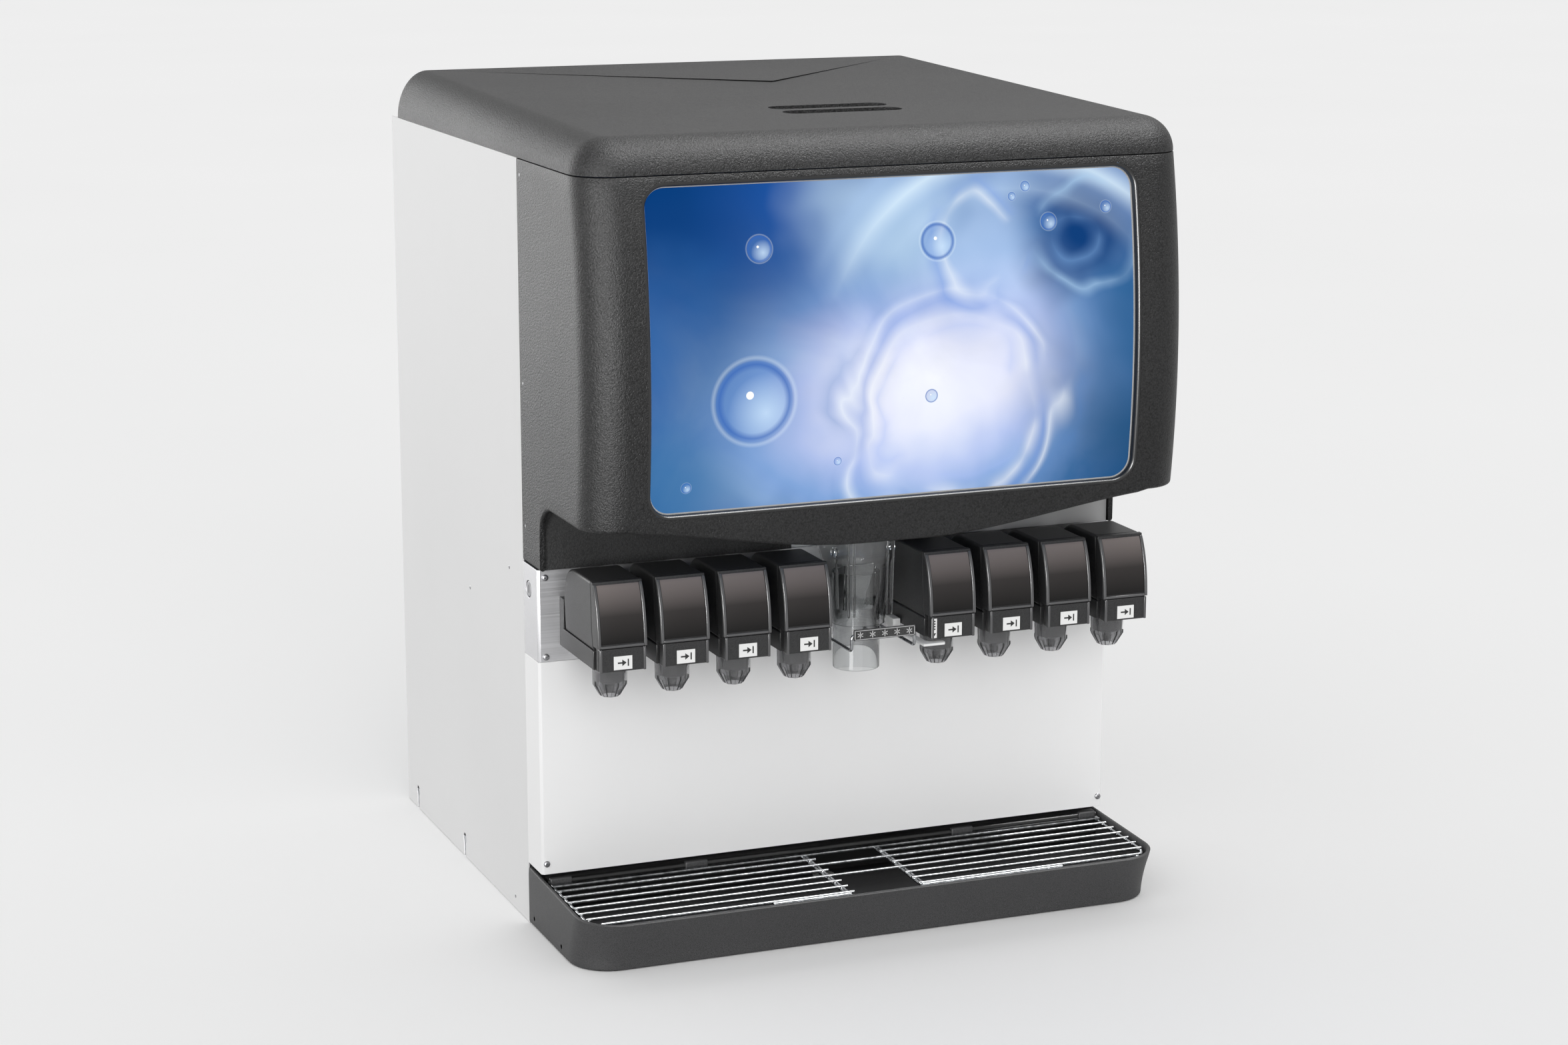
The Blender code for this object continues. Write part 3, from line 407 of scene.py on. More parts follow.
LOOKS = {
    "side_paint": powder_coat("side_paint", grey(0.77), 0.60, spec=0.06),
    "splash_paint": powder_coat("splash_paint", grey(0.88), 0.50, spec=0.12),
    "steel": brushed_metal("steel", (0.50, 0.50, 0.51), 0.44),
    "screw_steel": brushed_metal("screw_steel", (0.30, 0.30, 0.31), 0.38, "Z"),
    "chrome_wire": plated_wire("chrome_wire"),
    "zinc": galvanised("zinc"),
    "canopy": grained_plastic("canopy", grey(0.002), (0.022, 0.022, 0.0225), 0.44,
        strength=1.3, spec=0.24),
    "lid": grained_plastic("lid", grey(0.002), (0.034, 0.034, 0.035), 0.48,
        strength=1.5, spec=0.22),
    "bezel": smooth_plastic("bezel", grey(0.010), 0.34),
    "liner": grained_plastic("liner", grey(0.008), grey(0.035), 0.6),
    "valve": grained_plastic("valve", (0.014, 0.014, 0.0145), (0.040, 0.040, 0.041), 0.44,
        grain=900.0, strength=0.22, mottle=0.3),
    # raised ribs on the valves and keys, their light grey a painted highlight along their edges
    "valve_edge": smooth_plastic("valve_edge", (0.085, 0.085, 0.087), 0.24),
    "label": valve_label("label"),
    "tray": grained_plastic("tray", (0.030, 0.030, 0.031), (0.070, 0.070, 0.072), 0.55,
        grain=1100.0, strength=0.20, mottle=0.25),
    "basin": smooth_plastic("basin", grey(0.006), 0.30),
    "smoky": clear_plastic("smoky", (0.50, 0.50, 0.51), 0.05, 0.90, 1.45, 60.0, 0.12),
    # dark diffuser core of the nozzles, and the painted shade strips along their facet edges
    "diffuser": smooth_plastic("diffuser", (0.030, 0.030, 0.031), 0.30),
    "end_plate": powder_coat("end_plate", grey(0.42), 0.45, spec=0.2),
    "clear": clear_plastic("clear", (0.97, 0.98, 0.98), 0.02, 1.0, 1.40, 22.0, 0.25),
    "white_plastic": smooth_plastic("white_plastic", (0.78, 0.78, 0.77), 0.35),
    "hopper": smooth_plastic("hopper", (0.74, 0.75, 0.74), 0.45),
    "sticker": smooth_plastic("sticker", (0.80, 0.80, 0.79), 0.30, 0.02),
    # black print on stickers and marks, and the painted shade of the screws' cross recesses
    "ink": smooth_plastic("ink", grey(0.010), 0.40),
    # pale print on the lever plate, and the painted highlight ring round the picture
    "pale_ink": smooth_plastic("pale_ink", grey(0.50), 0.40),
    "plate": grained_plastic("plate", grey(0.018), grey(0.050), 0.5,
        grain=900.0, strength=0.2),
    "aluminium": brushed_metal("aluminium", (0.66, 0.67, 0.68), 0.45, "Y"),
    "motor": powder_coat("motor", (0.03, 0.03, 0.032), 0.4),
    "lamp": smooth_plastic("lamp", (0.88, 0.88, 0.86), 0.25),
    "reflector": powder_coat("reflector", (0.85, 0.85, 0.84), 0.30),
    "art": water_art("art"),
}


# Mesh builders, in millimetres

def finish_mesh(name, bm, look, smooth=True, angle=35.0):
    """An object in metres from a bmesh in millimetres, shaded smooth up to an angle."""
    bmesh.ops.recalc_face_normals(bm, faces=bm.faces)
    bmesh.ops.scale(bm, verts=bm.verts, vec=(MM, MM, MM))
    mesh = bpy.data.meshes.new(name)
    bm.to_mesh(mesh)
    bm.free()
    return add_object(name, mesh, look, smooth, angle)


def add_object(name, mesh, look, smooth=True, angle=35.0):
    looks = look if isinstance(look, (list, tuple)) else [look]
    mesh.materials.clear()
    for item in looks:
        mesh.materials.append(LOOKS[item])
    if smooth:
        mesh.shade_smooth()
        mesh.set_sharp_from_angle(angle=math.radians(angle))
    obj = bpy.data.objects.new(name, mesh)
    bpy.context.scene.collection.objects.link(obj)
    return obj


def attach(obj, body, slot, *replaced):
    """Let a piece ride on a body and stand for CAD nodes; the slot is not used."""
    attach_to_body(obj, body)
    if replaced:
        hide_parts(*replaced)
    return obj


def ring_faces(bm, first, second, index=0):
    count = len(first)
    for i in range(count):
        j = (i + 1) % count
        face = bm.faces.new((first[i], first[j], second[j], second[i]))
        face.material_index = index


def loft(loops, bm=None, caps=True, closed=False, index=None):
    """Skin through loops of points; index gives each span's material."""
    bm = bm or bmesh.new()
    rings = [[bm.verts.new(point) for point in loop] for loop in loops]
    pairs = list(zip(rings, rings[1:] + rings[:1])) if closed else list(zip(rings, rings[1:]))
    for number, (first, second) in enumerate(pairs):
        ring_faces(bm, first, second, index[number] if index else 0)
    if caps and not closed:
        bm.faces.new(rings[0])
        last = bm.faces.new(rings[-1])
        last.material_index = index[-1] if index else 0
    return bm


def prism(axis, outline, low, high, bm=None):
    """Push an outline along an axis; its points hold the two other coordinates, in order."""
    index = "xyz".index(axis)
    return loft([[(*point[:index], level, *point[index:]) for point in outline]
                 for level in (low, high)], bm)


def box(low, high, bm=None):
    (x0, y0, z0), (x1, y1, z1) = low, high
    return prism("z", [(x0, y0), (x1, y0), (x1, y1), (x0, y1)], z0, z1, bm)


def arc(x, y, radius, start, turn, steps):
    """Points along an arc, from a start angle through a turn, in degrees."""
    angles = [math.radians(start + turn * i / steps) for i in range(steps + 1)]
    return [(x + radius * math.cos(a), y + radius * math.sin(a)) for a in angles]


def circle(radius, sides, z=0.0):
    """Points round the Z axis at a height."""
    angles = [2 * math.pi * i / sides for i in range(sides)]
    return [Vector((radius * math.cos(a), radius * math.sin(a), z)) for a in angles]


def solid(name, bm, look, *edges, **shading):
    """A finished mesh, its edges rounded by (width, segments, angle) where they are given."""
    obj = finish_mesh(name, bm, look, **shading)
    return bevelled(obj, *edges) if edges else obj


def piece(name, bm, look, body, slot, *replaced, edges=(), **shading):
    """A solid that is attached to a body."""
    return attach(solid(name, bm, look, *edges, **shading), body, slot, *replaced)


def rod(start, end, radius, sides=16, bm=None, round_ends=0.0):
    """A round bar between two points, its ends rounded over by an amount."""
    start, end = Vector(start), Vector(end)
    along = (end - start).normalized()
    turn = along.to_track_quat("Z", "Y")
    stations = [(start, radius), (end, radius)]
    if round_ends:
        stations = [(start, radius - round_ends), (start + along * round_ends, radius),
                    (end - along * round_ends, radius), (end, radius - round_ends)]
    return loft([[centre + turn @ point for point in circle(r, sides)]
                 for centre, r in stations], bm)


def lathe(profile, centre, sides=48, bm=None, wobble=None):
    """Turn a closed profile of (radius, z) about an upright axis; wobble scales r by angle."""
    bm = bm or bmesh.new()
    rings = []
    for radius, z in profile:
        ring = []
        for i in range(sides):
            a = 2 * math.pi * i / sides
            r = radius * (wobble(a, z) if wobble else 1.0)
            ring.append(bm.verts.new((centre[0] + r * math.cos(a), centre[1] + r * math.sin(a), z)))
        rings.append(ring)
    for first, second in zip(rings, rings[1:] + rings[:1]):
        ring_faces(bm, first, second)
    return bm


def bevelled(obj, width, segments=3, angle=30.0):
    """Round an object's hard edges by a width in millimetres."""
    modifier = obj.modifiers.new("edges", "BEVEL")
    modifier.width = width * MM
    modifier.segments = segments
    modifier.limit_method = "ANGLE"
    modifier.angle_limit = math.radians(angle)
    return apply_modifiers(obj, planes=True)


def apply_modifiers(obj, planes=False):
    """Bake the modifiers; with planes, faces square to an axis stay flat-shaded, unstreaked."""
    depsgraph = bpy.context.evaluated_depsgraph_get()
    mesh = bpy.data.meshes.new_from_object(obj.evaluated_get(depsgraph))
    obj.modifiers.clear()
    obj.data = mesh
    mesh.shade_smooth()
    mesh.set_sharp_from_angle(angle=math.radians(35.0))
    for face in mesh.polygons:
        if planes and max(abs(part) for part in face.normal) > 0.99999:
            face.use_smooth = False
    return obj


def cut(obj, tool, planes=False):
    """Take a tool object's shape away, and remove the tool."""
    modifier = obj.modifiers.new("cut", "BOOLEAN")
    modifier.solver = "EXACT"
    modifier.operation = "DIFFERENCE"
    modifier.object = tool
    apply_modifiers(obj, planes)
    bpy.data.objects.remove(tool, do_unlink=True)
    return obj


def softened(node, name, look, width, body, slot, segments=3):
    """A CAD node's shape with rounded edges, standing for the node."""
    bm = bmesh.new()
    bm.from_mesh(nodes[node].data)
    bmesh.ops.remove_doubles(bm, verts=bm.verts, dist=1e-6)
    bmesh.ops.dissolve_limit(bm, angle_limit=math.radians(2), verts=bm.verts, edges=bm.edges)
    mesh = bpy.data.meshes.new(name)
    bm.to_mesh(mesh)
    bm.free()
    obj = bevelled(add_object(name, mesh, look), width, segments)
    return attach(obj, body, slot, node)


def rounded_rectangle(half, bottom, top, radius, side=16):
    """Points (x, z) round a rectangle about x = 0, its upright sides cut into stretches."""
    points = []
    x, foot, head = half - radius, bottom + radius, top - radius
    for centre, start, z_from, z_to in (((x, head), 0, 0, 0), ((-x, head), 90, head, foot),
                                        ((-x, foot), 180, 0, 0), ((x, foot), 270, foot, head)):
        points += arc(*centre, radius, start, 90, 10)
        if z_from:
            edge = points[-1][0]
            points += [(edge, z_from + (z_to - z_from) * i / side) for i in range(1, side)]
    return points


# Cabinet

def cabinet():
    """Sheet panels with softened edges, the rear louvres, and looks for the hidden solids."""
    for side in ("left", "right"):
        softened(f"{side}_side_panel", f"side_sheet_{side}", "side_paint", 0.6, "cabinet",
                 "grey_paint", 2)
    softened("splash_panel", "splash_sheet", "splash_paint", 0.8, "cabinet", "splash_paint")
    softened("valve_mount_plate", "mount_sheet", "steel", 0.6, "cabinet", "stainless", 2)
    rear = softened("rear_panel", "rear_sheet", "zinc", 0.5, "cabinet", "galvanised", 2)
    reach, pitch, opening = 105, 30, 11
    slots, blades = bmesh.new(), bmesh.new()
    for x in (-160, 160):
        for z in range(420, 420 + 8 * pitch, pitch):
            box((x - reach, REAR - 8, z), (x + reach, REAR + 5, z + opening), slots)
            blade = [(REAR - 2.0, z + opening), (REAR - 2.0, z + opening + 2),
                     (REAR - 15.0, z + 1.5), (REAR - 15.0, z - 0.5)]
            prism("x", blade, x - reach - 2, x + reach + 2, blades)
    cut(rear, finish_mesh("vent_tool", slots, "zinc"), planes=True)
    piece("rear_louvres", blades, "zinc", "cabinet", "galvanised")
    plain = {"base_pan": "zinc", "front_bulkhead": "zinc", "canopy_liner": "liner",
             "lamp_tube": "lamp", "lamp_reflector": "reflector", "ice_hopper": "hopper",
             "cold_plate": "aluminium", "agitator": "steel", "agitator_motor": "motor",
             "ice_gate": "steel", "drain_fitting": "white_plastic"}
    for node, look in plain.items():
        nodes[node].data.materials.clear()
        nodes[node].data.materials.append(LOOKS[look])


def screw(name, place, outward, radius=4.2, sink=0.0):
    """Pan-head screw with a black cross, painted shade for its cross recess, its head standing on a
    face or sunk in it.
    """
    outward = Vector(outward)
    place = Vector(place) - outward * sink
    turn = outward.to_track_quat("Z", "Y")
    profile = [(0.0, 0.0), (1.0, 0.0), (1.0, 0.22), (0.93, 0.42), (0.74, 0.58), (0.42, 0.66),
               (0.001, 0.68)]
    loops = [[place + turn @ point
              for point in circle(max(radius * share, 0.01), 20, radius * height)]
             for share, height in profile]
    bm = loft(loops, index=[0] * len(loops))
    # painted shade: a black cross on the head stands for the shade in the cross recess, which is
    # not cut
    arm, wide, top = radius * 0.52, radius * 0.15, radius * 0.70
    for x, y in ((arm, wide), (wide, arm)):
        loft([[place + turn @ Vector(point) for point in
               ((-x, -y, z), (x, -y, z), (x, y, z), (-x, y, z))]
              for z in (radius * 0.45, top)], bm, index=[1, 1])
    piece(name, bm, ["screw_steel", "ink"], "cabinet", "stainless")


def cabinet_screws():
    """Screws and rivets, the same on the left and the right."""
    sides = [(56.3, 16.3), (230.5, 374.2), (57.4, 438.9)]
    for side, tag in ((-1, "left"), (1, "right")):
        edge, outward = side * HALF, (side, 0, 0)
        for number, (y, z) in enumerate(sides, 1):
            screw(f"side_screw_{tag}_{number}", (edge, SIDE_FRONT + y, z), outward, 3.2, 1.7)
        screw(f"splash_screw_{tag}", (side * (HALF - 6.5), SPLASH, 91.5), (0, -1, 0), 4.0)
        for number, z in enumerate((351.5, 449.5), 1):
            screw(f"mount_screw_{tag}_{number}", (side * (HALF - 9.7), SPLASH, z), (0, -1, 0),
                  4.0)
        for number, z in enumerate((504.3, 677.9, 926.5), 1):
            screw(f"canopy_screw_{tag}_{number}", (edge, SIDE_FRONT - 12.0, z), outward, 2.6,
                  1.4)
        for number, y in enumerate((SIDE_FRONT - 20.5, SIDE_FRONT - 127.6), 1):
            rivet = rod((side * (HALF - 2), y, 11), (edge, y, 11), 3.6, 20, round_ends=0.8)
            piece(f"tray_rivet_{tag}_{number}", rivet, "tray", "cabinet", "tray_plastic")
    for row, z in enumerate((30, 300, 600, 915)):
        for column, x in enumerate((-366, 366)):
            screw(f"rear_screw_{row}_{column}", (x, REAR, z), (0, 1, 0), 3.4, 1.8)


def key_switch():
    """Round lock with a raised ring and a key slot, in the mount plate's left return."""
    low, high = corners("key_switch")
    y, z = (low.y + high.y) / 2, (low.z + high.z) / 2
    face = low.x
    bm = rod((face, y, z), (high.x, y, z), 9.4, 40, round_ends=0.6)
    bm = rod((face + 0.2, y, z), (face + 3.0, y, z), 10.0, 40, bm, round_ends=0.5)
    barrel = finish_mesh("lock_barrel", bm, "screw_steel")
    slot = finish_mesh("lock_slot", box((face - 1, y - 1.1, z - 5), (face + 2.0, y + 1.1, z + 5)),
                       "ink")
    cut(barrel, slot)
    attach(barrel, "switch", "stainless", "key_switch")


# Canopy

def canopy_columns():
    """(kind, value, bottom height) of each plan point, left rear to the middle of the front."""
    low, run, steps = CANOPY_LOW.z, HALF - CANOPY_CORNER, 24
    columns = [("side", CHEEK * i / 6, low) for i in range(6)] + [("side", CHEEK - 0.4, low)]
    columns += [("side", y, z) for y, z in arc(CHEEK + ARCH_RADIUS, ARCH_HEIGHT - ARCH_RADIUS,
                                               ARCH_RADIUS, 180, -90, 12)]
    columns += [("run", i / 4, ARCH_HEIGHT) for i in range(1, 4)]
    columns += [("corner", math.radians(90 * i / 16), ARCH_HEIGHT) for i in range(17)]
    for x in (run * (1 - i / steps) for i in range(1, steps + 1)):
        columns.append(("front", x, ARCH_HEIGHT - DROOP * (1 - smoothstep((x - 40) / 341))))
    return columns


def canopy_point(kind, value, z, inset):
    half, radius = HALF - inset, CANOPY_CORNER - inset
    corner_y = nose(z) + CANOPY_CORNER
    if kind == "side":
        return -half, CANOPY_HIGH.y - value
    if kind == "run":
        start = SIDE_FRONT - CHEEK - ARCH_RADIUS
        return -half, start + (corner_y - start) * value
    if kind == "corner":
        return (-half + radius * (1 - math.cos(value)), corner_y - radius * math.sin(value))
    return -value, nose(z) + inset


def canopy():
    """Grained housing with a rolled lower lip and a cut window."""
    wall, lip, edge, rows = 6.0, 4.0, 1.2, 26
    top = CANOPY_HIGH.z
    columns = [(column, 1) for column in canopy_columns()]
    columns += [(column, -1) for column, _ in reversed(columns[:-1])]
    sections = []
    for (kind, value, low), side in columns:
        levels = arc(edge, top - edge, edge, 90, 90, 2)
        levels += [(0.0, top + (low + lip - top) * i / rows) for i in range(1, rows)]
        levels += arc(lip, low + lip, lip, 180, 90, 6)
        levels += [(wall, low + 0.5), (wall, (low + top) / 2), (wall, top)]
        points = [(*canopy_point(kind, value, z, inset), z) for inset, z in levels]
        sections.append([(x * side, y, z) for x, y, z in points])
    housing = finish_mesh("canopy_shell", loft(sections), "canopy")
    window = rounded_rectangle(WINDOW_HALF + 5, WINDOW_BOTTOM - 5, WINDOW_TOP + 5,
                               WINDOW_CORNER + 5)
    tool = prism("y", window, NOSE - 20, NOSE + 60)
    cut(housing, finish_mesh("window_tool", tool, "canopy"))
    attach(housing, "cabinet", "charcoal_plastic", "canopy_housing")


def end_plate():
    """Pale sheet that closes the gap between the canopy and the taps at the right end."""
    skirt, low = SPLASH - 7.0, corners("canopy_liner")[0].z
    sheet = box((130, skirt - 1.2, low + 0.5), (HALF - 7, skirt, 546))
    piece("end_plate_sheet", sheet, "end_plate", "cabinet", "stainless", edges=(0.5, 2))


def window_ring(name, profile, look, slot, *replaced):
    """A frame round the window: profile points are (outward from the edge, depth)."""
    loops = []
    for outward, depth in profile:
        points = rounded_rectangle(WINDOW_HALF + outward, WINDOW_BOTTOM - outward,
                                   WINDOW_TOP + outward, WINDOW_CORNER + outward)
        loops.append([(x, nose(z) + depth, z) for x, z in points])
    piece(name, loft(loops, closed=True), look, "cabinet", slot, *replaced)


def graphic():
    window_ring("window_bezel", [(4.8, 0.2), (4.0, 0.0), (2.4, 0.5), (1.0, 1.8), (0.2, 3.8),
                                 (0.0, 8.6), (4.8, 8.6)], "bezel", "dark_plastic",
                "graphic_frame")
    # painted highlight: a pale ring standing for the glint on the frame's glossy inner edge round
    # the picture
    window_ring("window_edge_highlight", [(0.4, 8.7), (-1.6, 8.7), (-1.6, 9.4), (0.4, 9.4)], "pale_ink",
                "graphic_blue")
    margin, rows = 8.0, 60
    half, radius = WINDOW_HALF + margin, WINDOW_CORNER + margin
    low, high = WINDOW_BOTTOM - margin, WINDOW_TOP + margin
    loops = []
    for i in range(rows + 1):
        z = low + (high - low) * i / rows
        reach = max(radius - min(z - low, high - z), 0.0)
        x = half - radius + math.sqrt(max(radius ** 2 - reach ** 2, 0.0))
        front, back = nose(z) + 9.5, nose(z) + 12.5
        loops.append([(-x, front, z), (x, front, z), (x, back, z), (-x, back, z)])
    piece("picture_panel", loft(loops), "art", "cabinet", "graphic_blue", "graphic_panel")


# Lid

def lid_top(y):
    """Height of the lid's top plane, which climbs to the back."""
    front = nose(LID_LOW.z) + LID_ROUND
    return LID_FRONT_HEIGHT + (LID_HIGH.z - LID_FRONT_HEIGHT) * (y - front) / (LID_HIGH.y - front)


def lid_loop(angle, wall):
    inset = LID_ROUND * (1 - math.cos(angle)) + wall
    half, front, back = HALF - inset, nose(LID_LOW.z) + inset, LID_HIGH.y - wall
    radius = max(CANOPY_CORNER - inset, 8.0)
    plan = [(-half, back - (back - front - radius) * i / 12) for i in range(12)]
    for x, start in ((-half + radius, 180), (half - radius, 270)):
        plan += arc(x, front + radius, radius, start, 90, 12)
    plan += [(half, front + radius + (back - front - radius) * i / 12) for i in range(1, 13)]
    base = LID_LOW.z
    return [(x, y, base + (lid_top(y) - wall - base) * math.sin(angle)) for x, y in plan]


def slot_outline(cx, cy, length, width):
    """Capsule outline, (x, y)."""
    radius = width / 2
    reach = length / 2 - radius
    return (arc(cx + reach, cy, radius, -90, 180, 8) + arc(cx - reach, cy, radius, 90, 180, 8))


def lid():
    """Rounded lid with a shallow crown and two grip slots."""
    wall, apex_x, apex_y = 7.0, 47, 116
    angles = [math.radians(90 * i / 18) for i in range(19)]
    outer = [lid_loop(angle, 0.0) for angle in reversed(angles)]
    inner = [lid_loop(angle, wall) for angle in angles]
    bm = loft(outer + inner)
    roof = max(bm.faces, key=lambda face: face.calc_center_median().z)
    apex = bmesh.ops.poke(bm, faces=[roof])["verts"][0]
    apex.co = Vector((apex_x, apex_y, lid_top(apex_y) + LID_CROWN))
    shell = finish_mesh("lid_shell", bm, "lid")
    for number, y in enumerate((SIDE_FRONT - 3.0, SIDE_FRONT - 50.0)):
        top = lid_top(y) + LID_CROWN / 2
        grip = prism("z", slot_outline(TAP_CENTRE + 9, y, 154.0, 32.0), top - 6.0, top + 6)
        cut(shell, finish_mesh(f"grip_tool_{number}", grip, "lid"))
    for face in shell.data.polygons:
        if face.normal.z > 0.995:
            face.use_smooth = False
    attach(shell, "lid", "charcoal_plastic", "lid")


# Drip tray

def tray_loop(inset, front, back_z, front_z):
    """The tray's outline at an inset, sloping from a height at its back to one at its front."""
    half, back = HALF - inset, TRAY_HIGH.y - inset
    radius = max(52.0 - inset, 4.0)
    front = front + inset
    plan = [(-half, back)]
    for x, start in ((-half + radius, 180), (half - radius, 270)):
        plan += arc(x, front + radius, radius, start, 90, 12)
    plan.append((half, back))
    return [(x, y, back_z + (front_z - back_z) * (back - y) / (back - front)) for x, y in plan]


def drip_tray():
    """Moulded tray: skirt, flared wall, rolled rim and a black basin that slopes to a drain."""
    foot, lip = SIDE_FRONT - 206.0, TRAY_LOW.y
    rim_back, rim_front, wall, edge = TRAY_HIGH.z, 65.0, 5.6, 2.8
    loops, index = [], []

    def add(inset, front, back_z, front_z, material=0):
        loops.append(tray_loop(inset, front, back_z, front_z))
        index.append(material)

    for inset, z in ((5.0, 19.0), (4.0, 0.6), (3.0, 0.0)):
        add(inset, foot, z, z)
    for x, z in arc(3.0, 3.0, 3.0, 270, -90, 4)[1:]:
        add(x, foot, z, z)
    for t in (i / 9 for i in range(1, 9)):
        add(0.0, foot + (lip - foot) * t ** 1.5, 3 + (rim_back - 5) * t, 3 + (rim_front - 5) * t)
    for inset, rise in arc(edge, -edge, edge, 180, -180, 6)[1:-1]:
        add(inset, lip, rim_back + rise, rim_front + rise)
    add(wall + 0.5, lip, rim_back - 6, rim_front - 6, 1)
    add(wall + 2.0, lip + 3, 50.0, 50.0, 1)
    add(wall + 3.0, foot + 4, 30.0, 28.0, 1)
    add(wall + 9.0, foot + 6, 24.0, 22.4, 1)
    piece("tray_moulding", loft(loops, index=index), ["tray", "basin"], "cabinet",
          "tray_plastic", "drip_tray", angle=40)
    back, front = SPLASH + 14, SPLASH - 1
    outline = [(back, 71), (front + 5, 71)] + arc(front + 5, 66, 5, 90, 90, 6)[1:]
    outline += [(front + 1.0, 40), (front + 4, 40), (front + 6, 62), (back, 64)]
    piece("tray_ledge", prism("x", outline, -HALF + 8, HALF - 8), "basin", "cabinet",
          "tray_plastic", angle=60)
    tabs = bmesh.new()
    for x, reach in ((-181.0, 15.0), (181.0, 15.0), (-HALF + 24, 14.0), (HALF - 22, 12.0)):
        box((x - reach, front - 1.6, 63.5), (x + reach, front + 6, 72.4), tabs)
    piece("tray_tabs", tabs, "tray", "cabinet", "tray_plastic", edges=(2.0, 4))


def rack_height(y):
    """Height of the rack's long wires, which slopes like the tray's rim."""
    share = (RACK_BACK - y) / (RACK_BACK - RACK_FRONT)
    return 65.0 - 3.5 * share


def wire_curve(name, paths, radius, look):
    """Smooth round wires along lists of points, joined in one mesh."""
    curve = bpy.data.curves.new(name, "CURVE")
    curve.dimensions = "3D"
    curve.bevel_depth = radius * MM
    curve.bevel_resolution = 4
    curve.use_fill_caps = True
    for points in paths:
        spline = curve.splines.new("POLY")
        spline.points.add(len(points) - 1)
        for spot, point in zip(spline.points, points):
            spot.co = (*(Vector(point) * MM), 1.0)
    holder = bpy.data.objects.new(name, curve)
    bpy.context.scene.collection.objects.link(holder)
    depsgraph = bpy.context.evaluated_depsgraph_get()
    mesh = bpy.data.meshes.new_from_object(holder.evaluated_get(depsgraph))
    bpy.data.objects.remove(holder, do_unlink=True)
    return add_object(name, mesh, look, angle=50)


def cup_rest():
    """Welded wire rack with an edge wire that follows the tray, open under the ice spout."""
    half, drop, corner = RACK_HALF, 2.6, 36.0
    left_bar, right_bar = TAP_CENTRE - 46, TAP_CENTRE + 53
    thin, beads = [], bmesh.new()
    for row in range(1, 8):
        y = RACK_BACK - RACK_PITCH * row
        inset, z = {6: 3.0, 7: 15.0}.get(row, 0.0), rack_height(y)
        left, right = inset - half, half - inset
        welds = [left + 4, right - 4]
        if row in (2, 4):
            thin.append([(left, y, z), (right, y, z)])
        else:
            thin += [[(left, y, z), (left_bar + 7.5, y, z)],
                     [(right_bar - 5.5, y, z), (right, y, z)]]
            welds += [left_bar + 1, right_bar - 1]
        for x in welds:
            made = bmesh.ops.create_icosphere(beads, subdivisions=2, radius=2.7)
            for vert in made["verts"]:
                vert.co = (x + vert.co.x * 1.25, y + vert.co.y, z - 1.0 + vert.co.z * 0.8)
    y = RACK_FRONT + 4.6
    z = rack_height(y) - 1
    thin += [[(-140, y, z), (left_bar + 2, y, z)], [(right_bar - 2, y, z), (246, y, z)]]
    edge = [(3 - half, RACK_BACK + 2)]
    for x, start in ((3 - half + corner, 180), (half - 3 - corner, 270)):
        edge += arc(x, RACK_FRONT + corner, corner, start, 90, 10)
    edge.append((half - 3, RACK_BACK + 2))
    bars = [[(x + offset, y) for y in (RACK_BACK + 3, RACK_FRONT - 0.5)]
            for x in (left_bar, right_bar) for offset in (-2.2, 2.2)]
    edge, *bars = [[(x, y, rack_height(y) - drop) for x, y in path] for path in [edge, *bars]]
    for name, paths, radius, *node in (("rack_wires", thin, 2.0, "cup_rest_grid"),
                                       ("rack_edge_wire", [edge], 2.3),
                                       ("rack_cross_bars", bars, 2.2)):
        attach(wire_curve(name, paths, radius, "chrome_wire"), "cup_rest", "stainless", *node)
    z = rack_height(RACK_BACK)
    bar = box((-half, RACK_BACK - 5, z - 1.6), (half, RACK_BACK + 5, z + 1.8))
    piece("rack_back_bar", bar, "chrome_wire", "cup_rest", "stainless", edges=(1.2, 3))
    piece("rack_welds", beads, "chrome_wire", "cup_rest", "stainless")


# Valves

def front_curve(share):
    """(y, z) on the cover's front, from the foot (0) to the head (1)."""
    foot, head = Vector((KEY_FRONT + 1.2, KEY_TOP + 0.6)), Vector((SIDE_FRONT - 181.0, 467.0))
    bulge = Vector((KEY_FRONT + 2.2, 440.0))
    point = foot * (1 - share) ** 2 + bulge * 2 * share * (1 - share) + head * share ** 2
    return point


def front_normal(share):
    step = 0.01
    a, b = front_curve(max(share - step, 0)), front_curve(min(share + step, 1))
    along = (b - a).normalized()
    return Vector((-along.y, along.x))


def front_strip(x0, x1, low, high, rise, depth, bm=None, steps=16):
    """A solid strip on the cover's curved front, from share low to high."""
    loops = []
    for i in range(steps + 1):
        share = low + (high - low) * i / steps
        point, out = front_curve(share), front_normal(share)
        near, far = point + out * rise, point - out * depth
        loops.append([(x0, near.x, near.y), (x1, near.x, near.y), (x1, far.x, far.y),
                      (x0, far.x, far.y)])
    return loft(loops, bm)


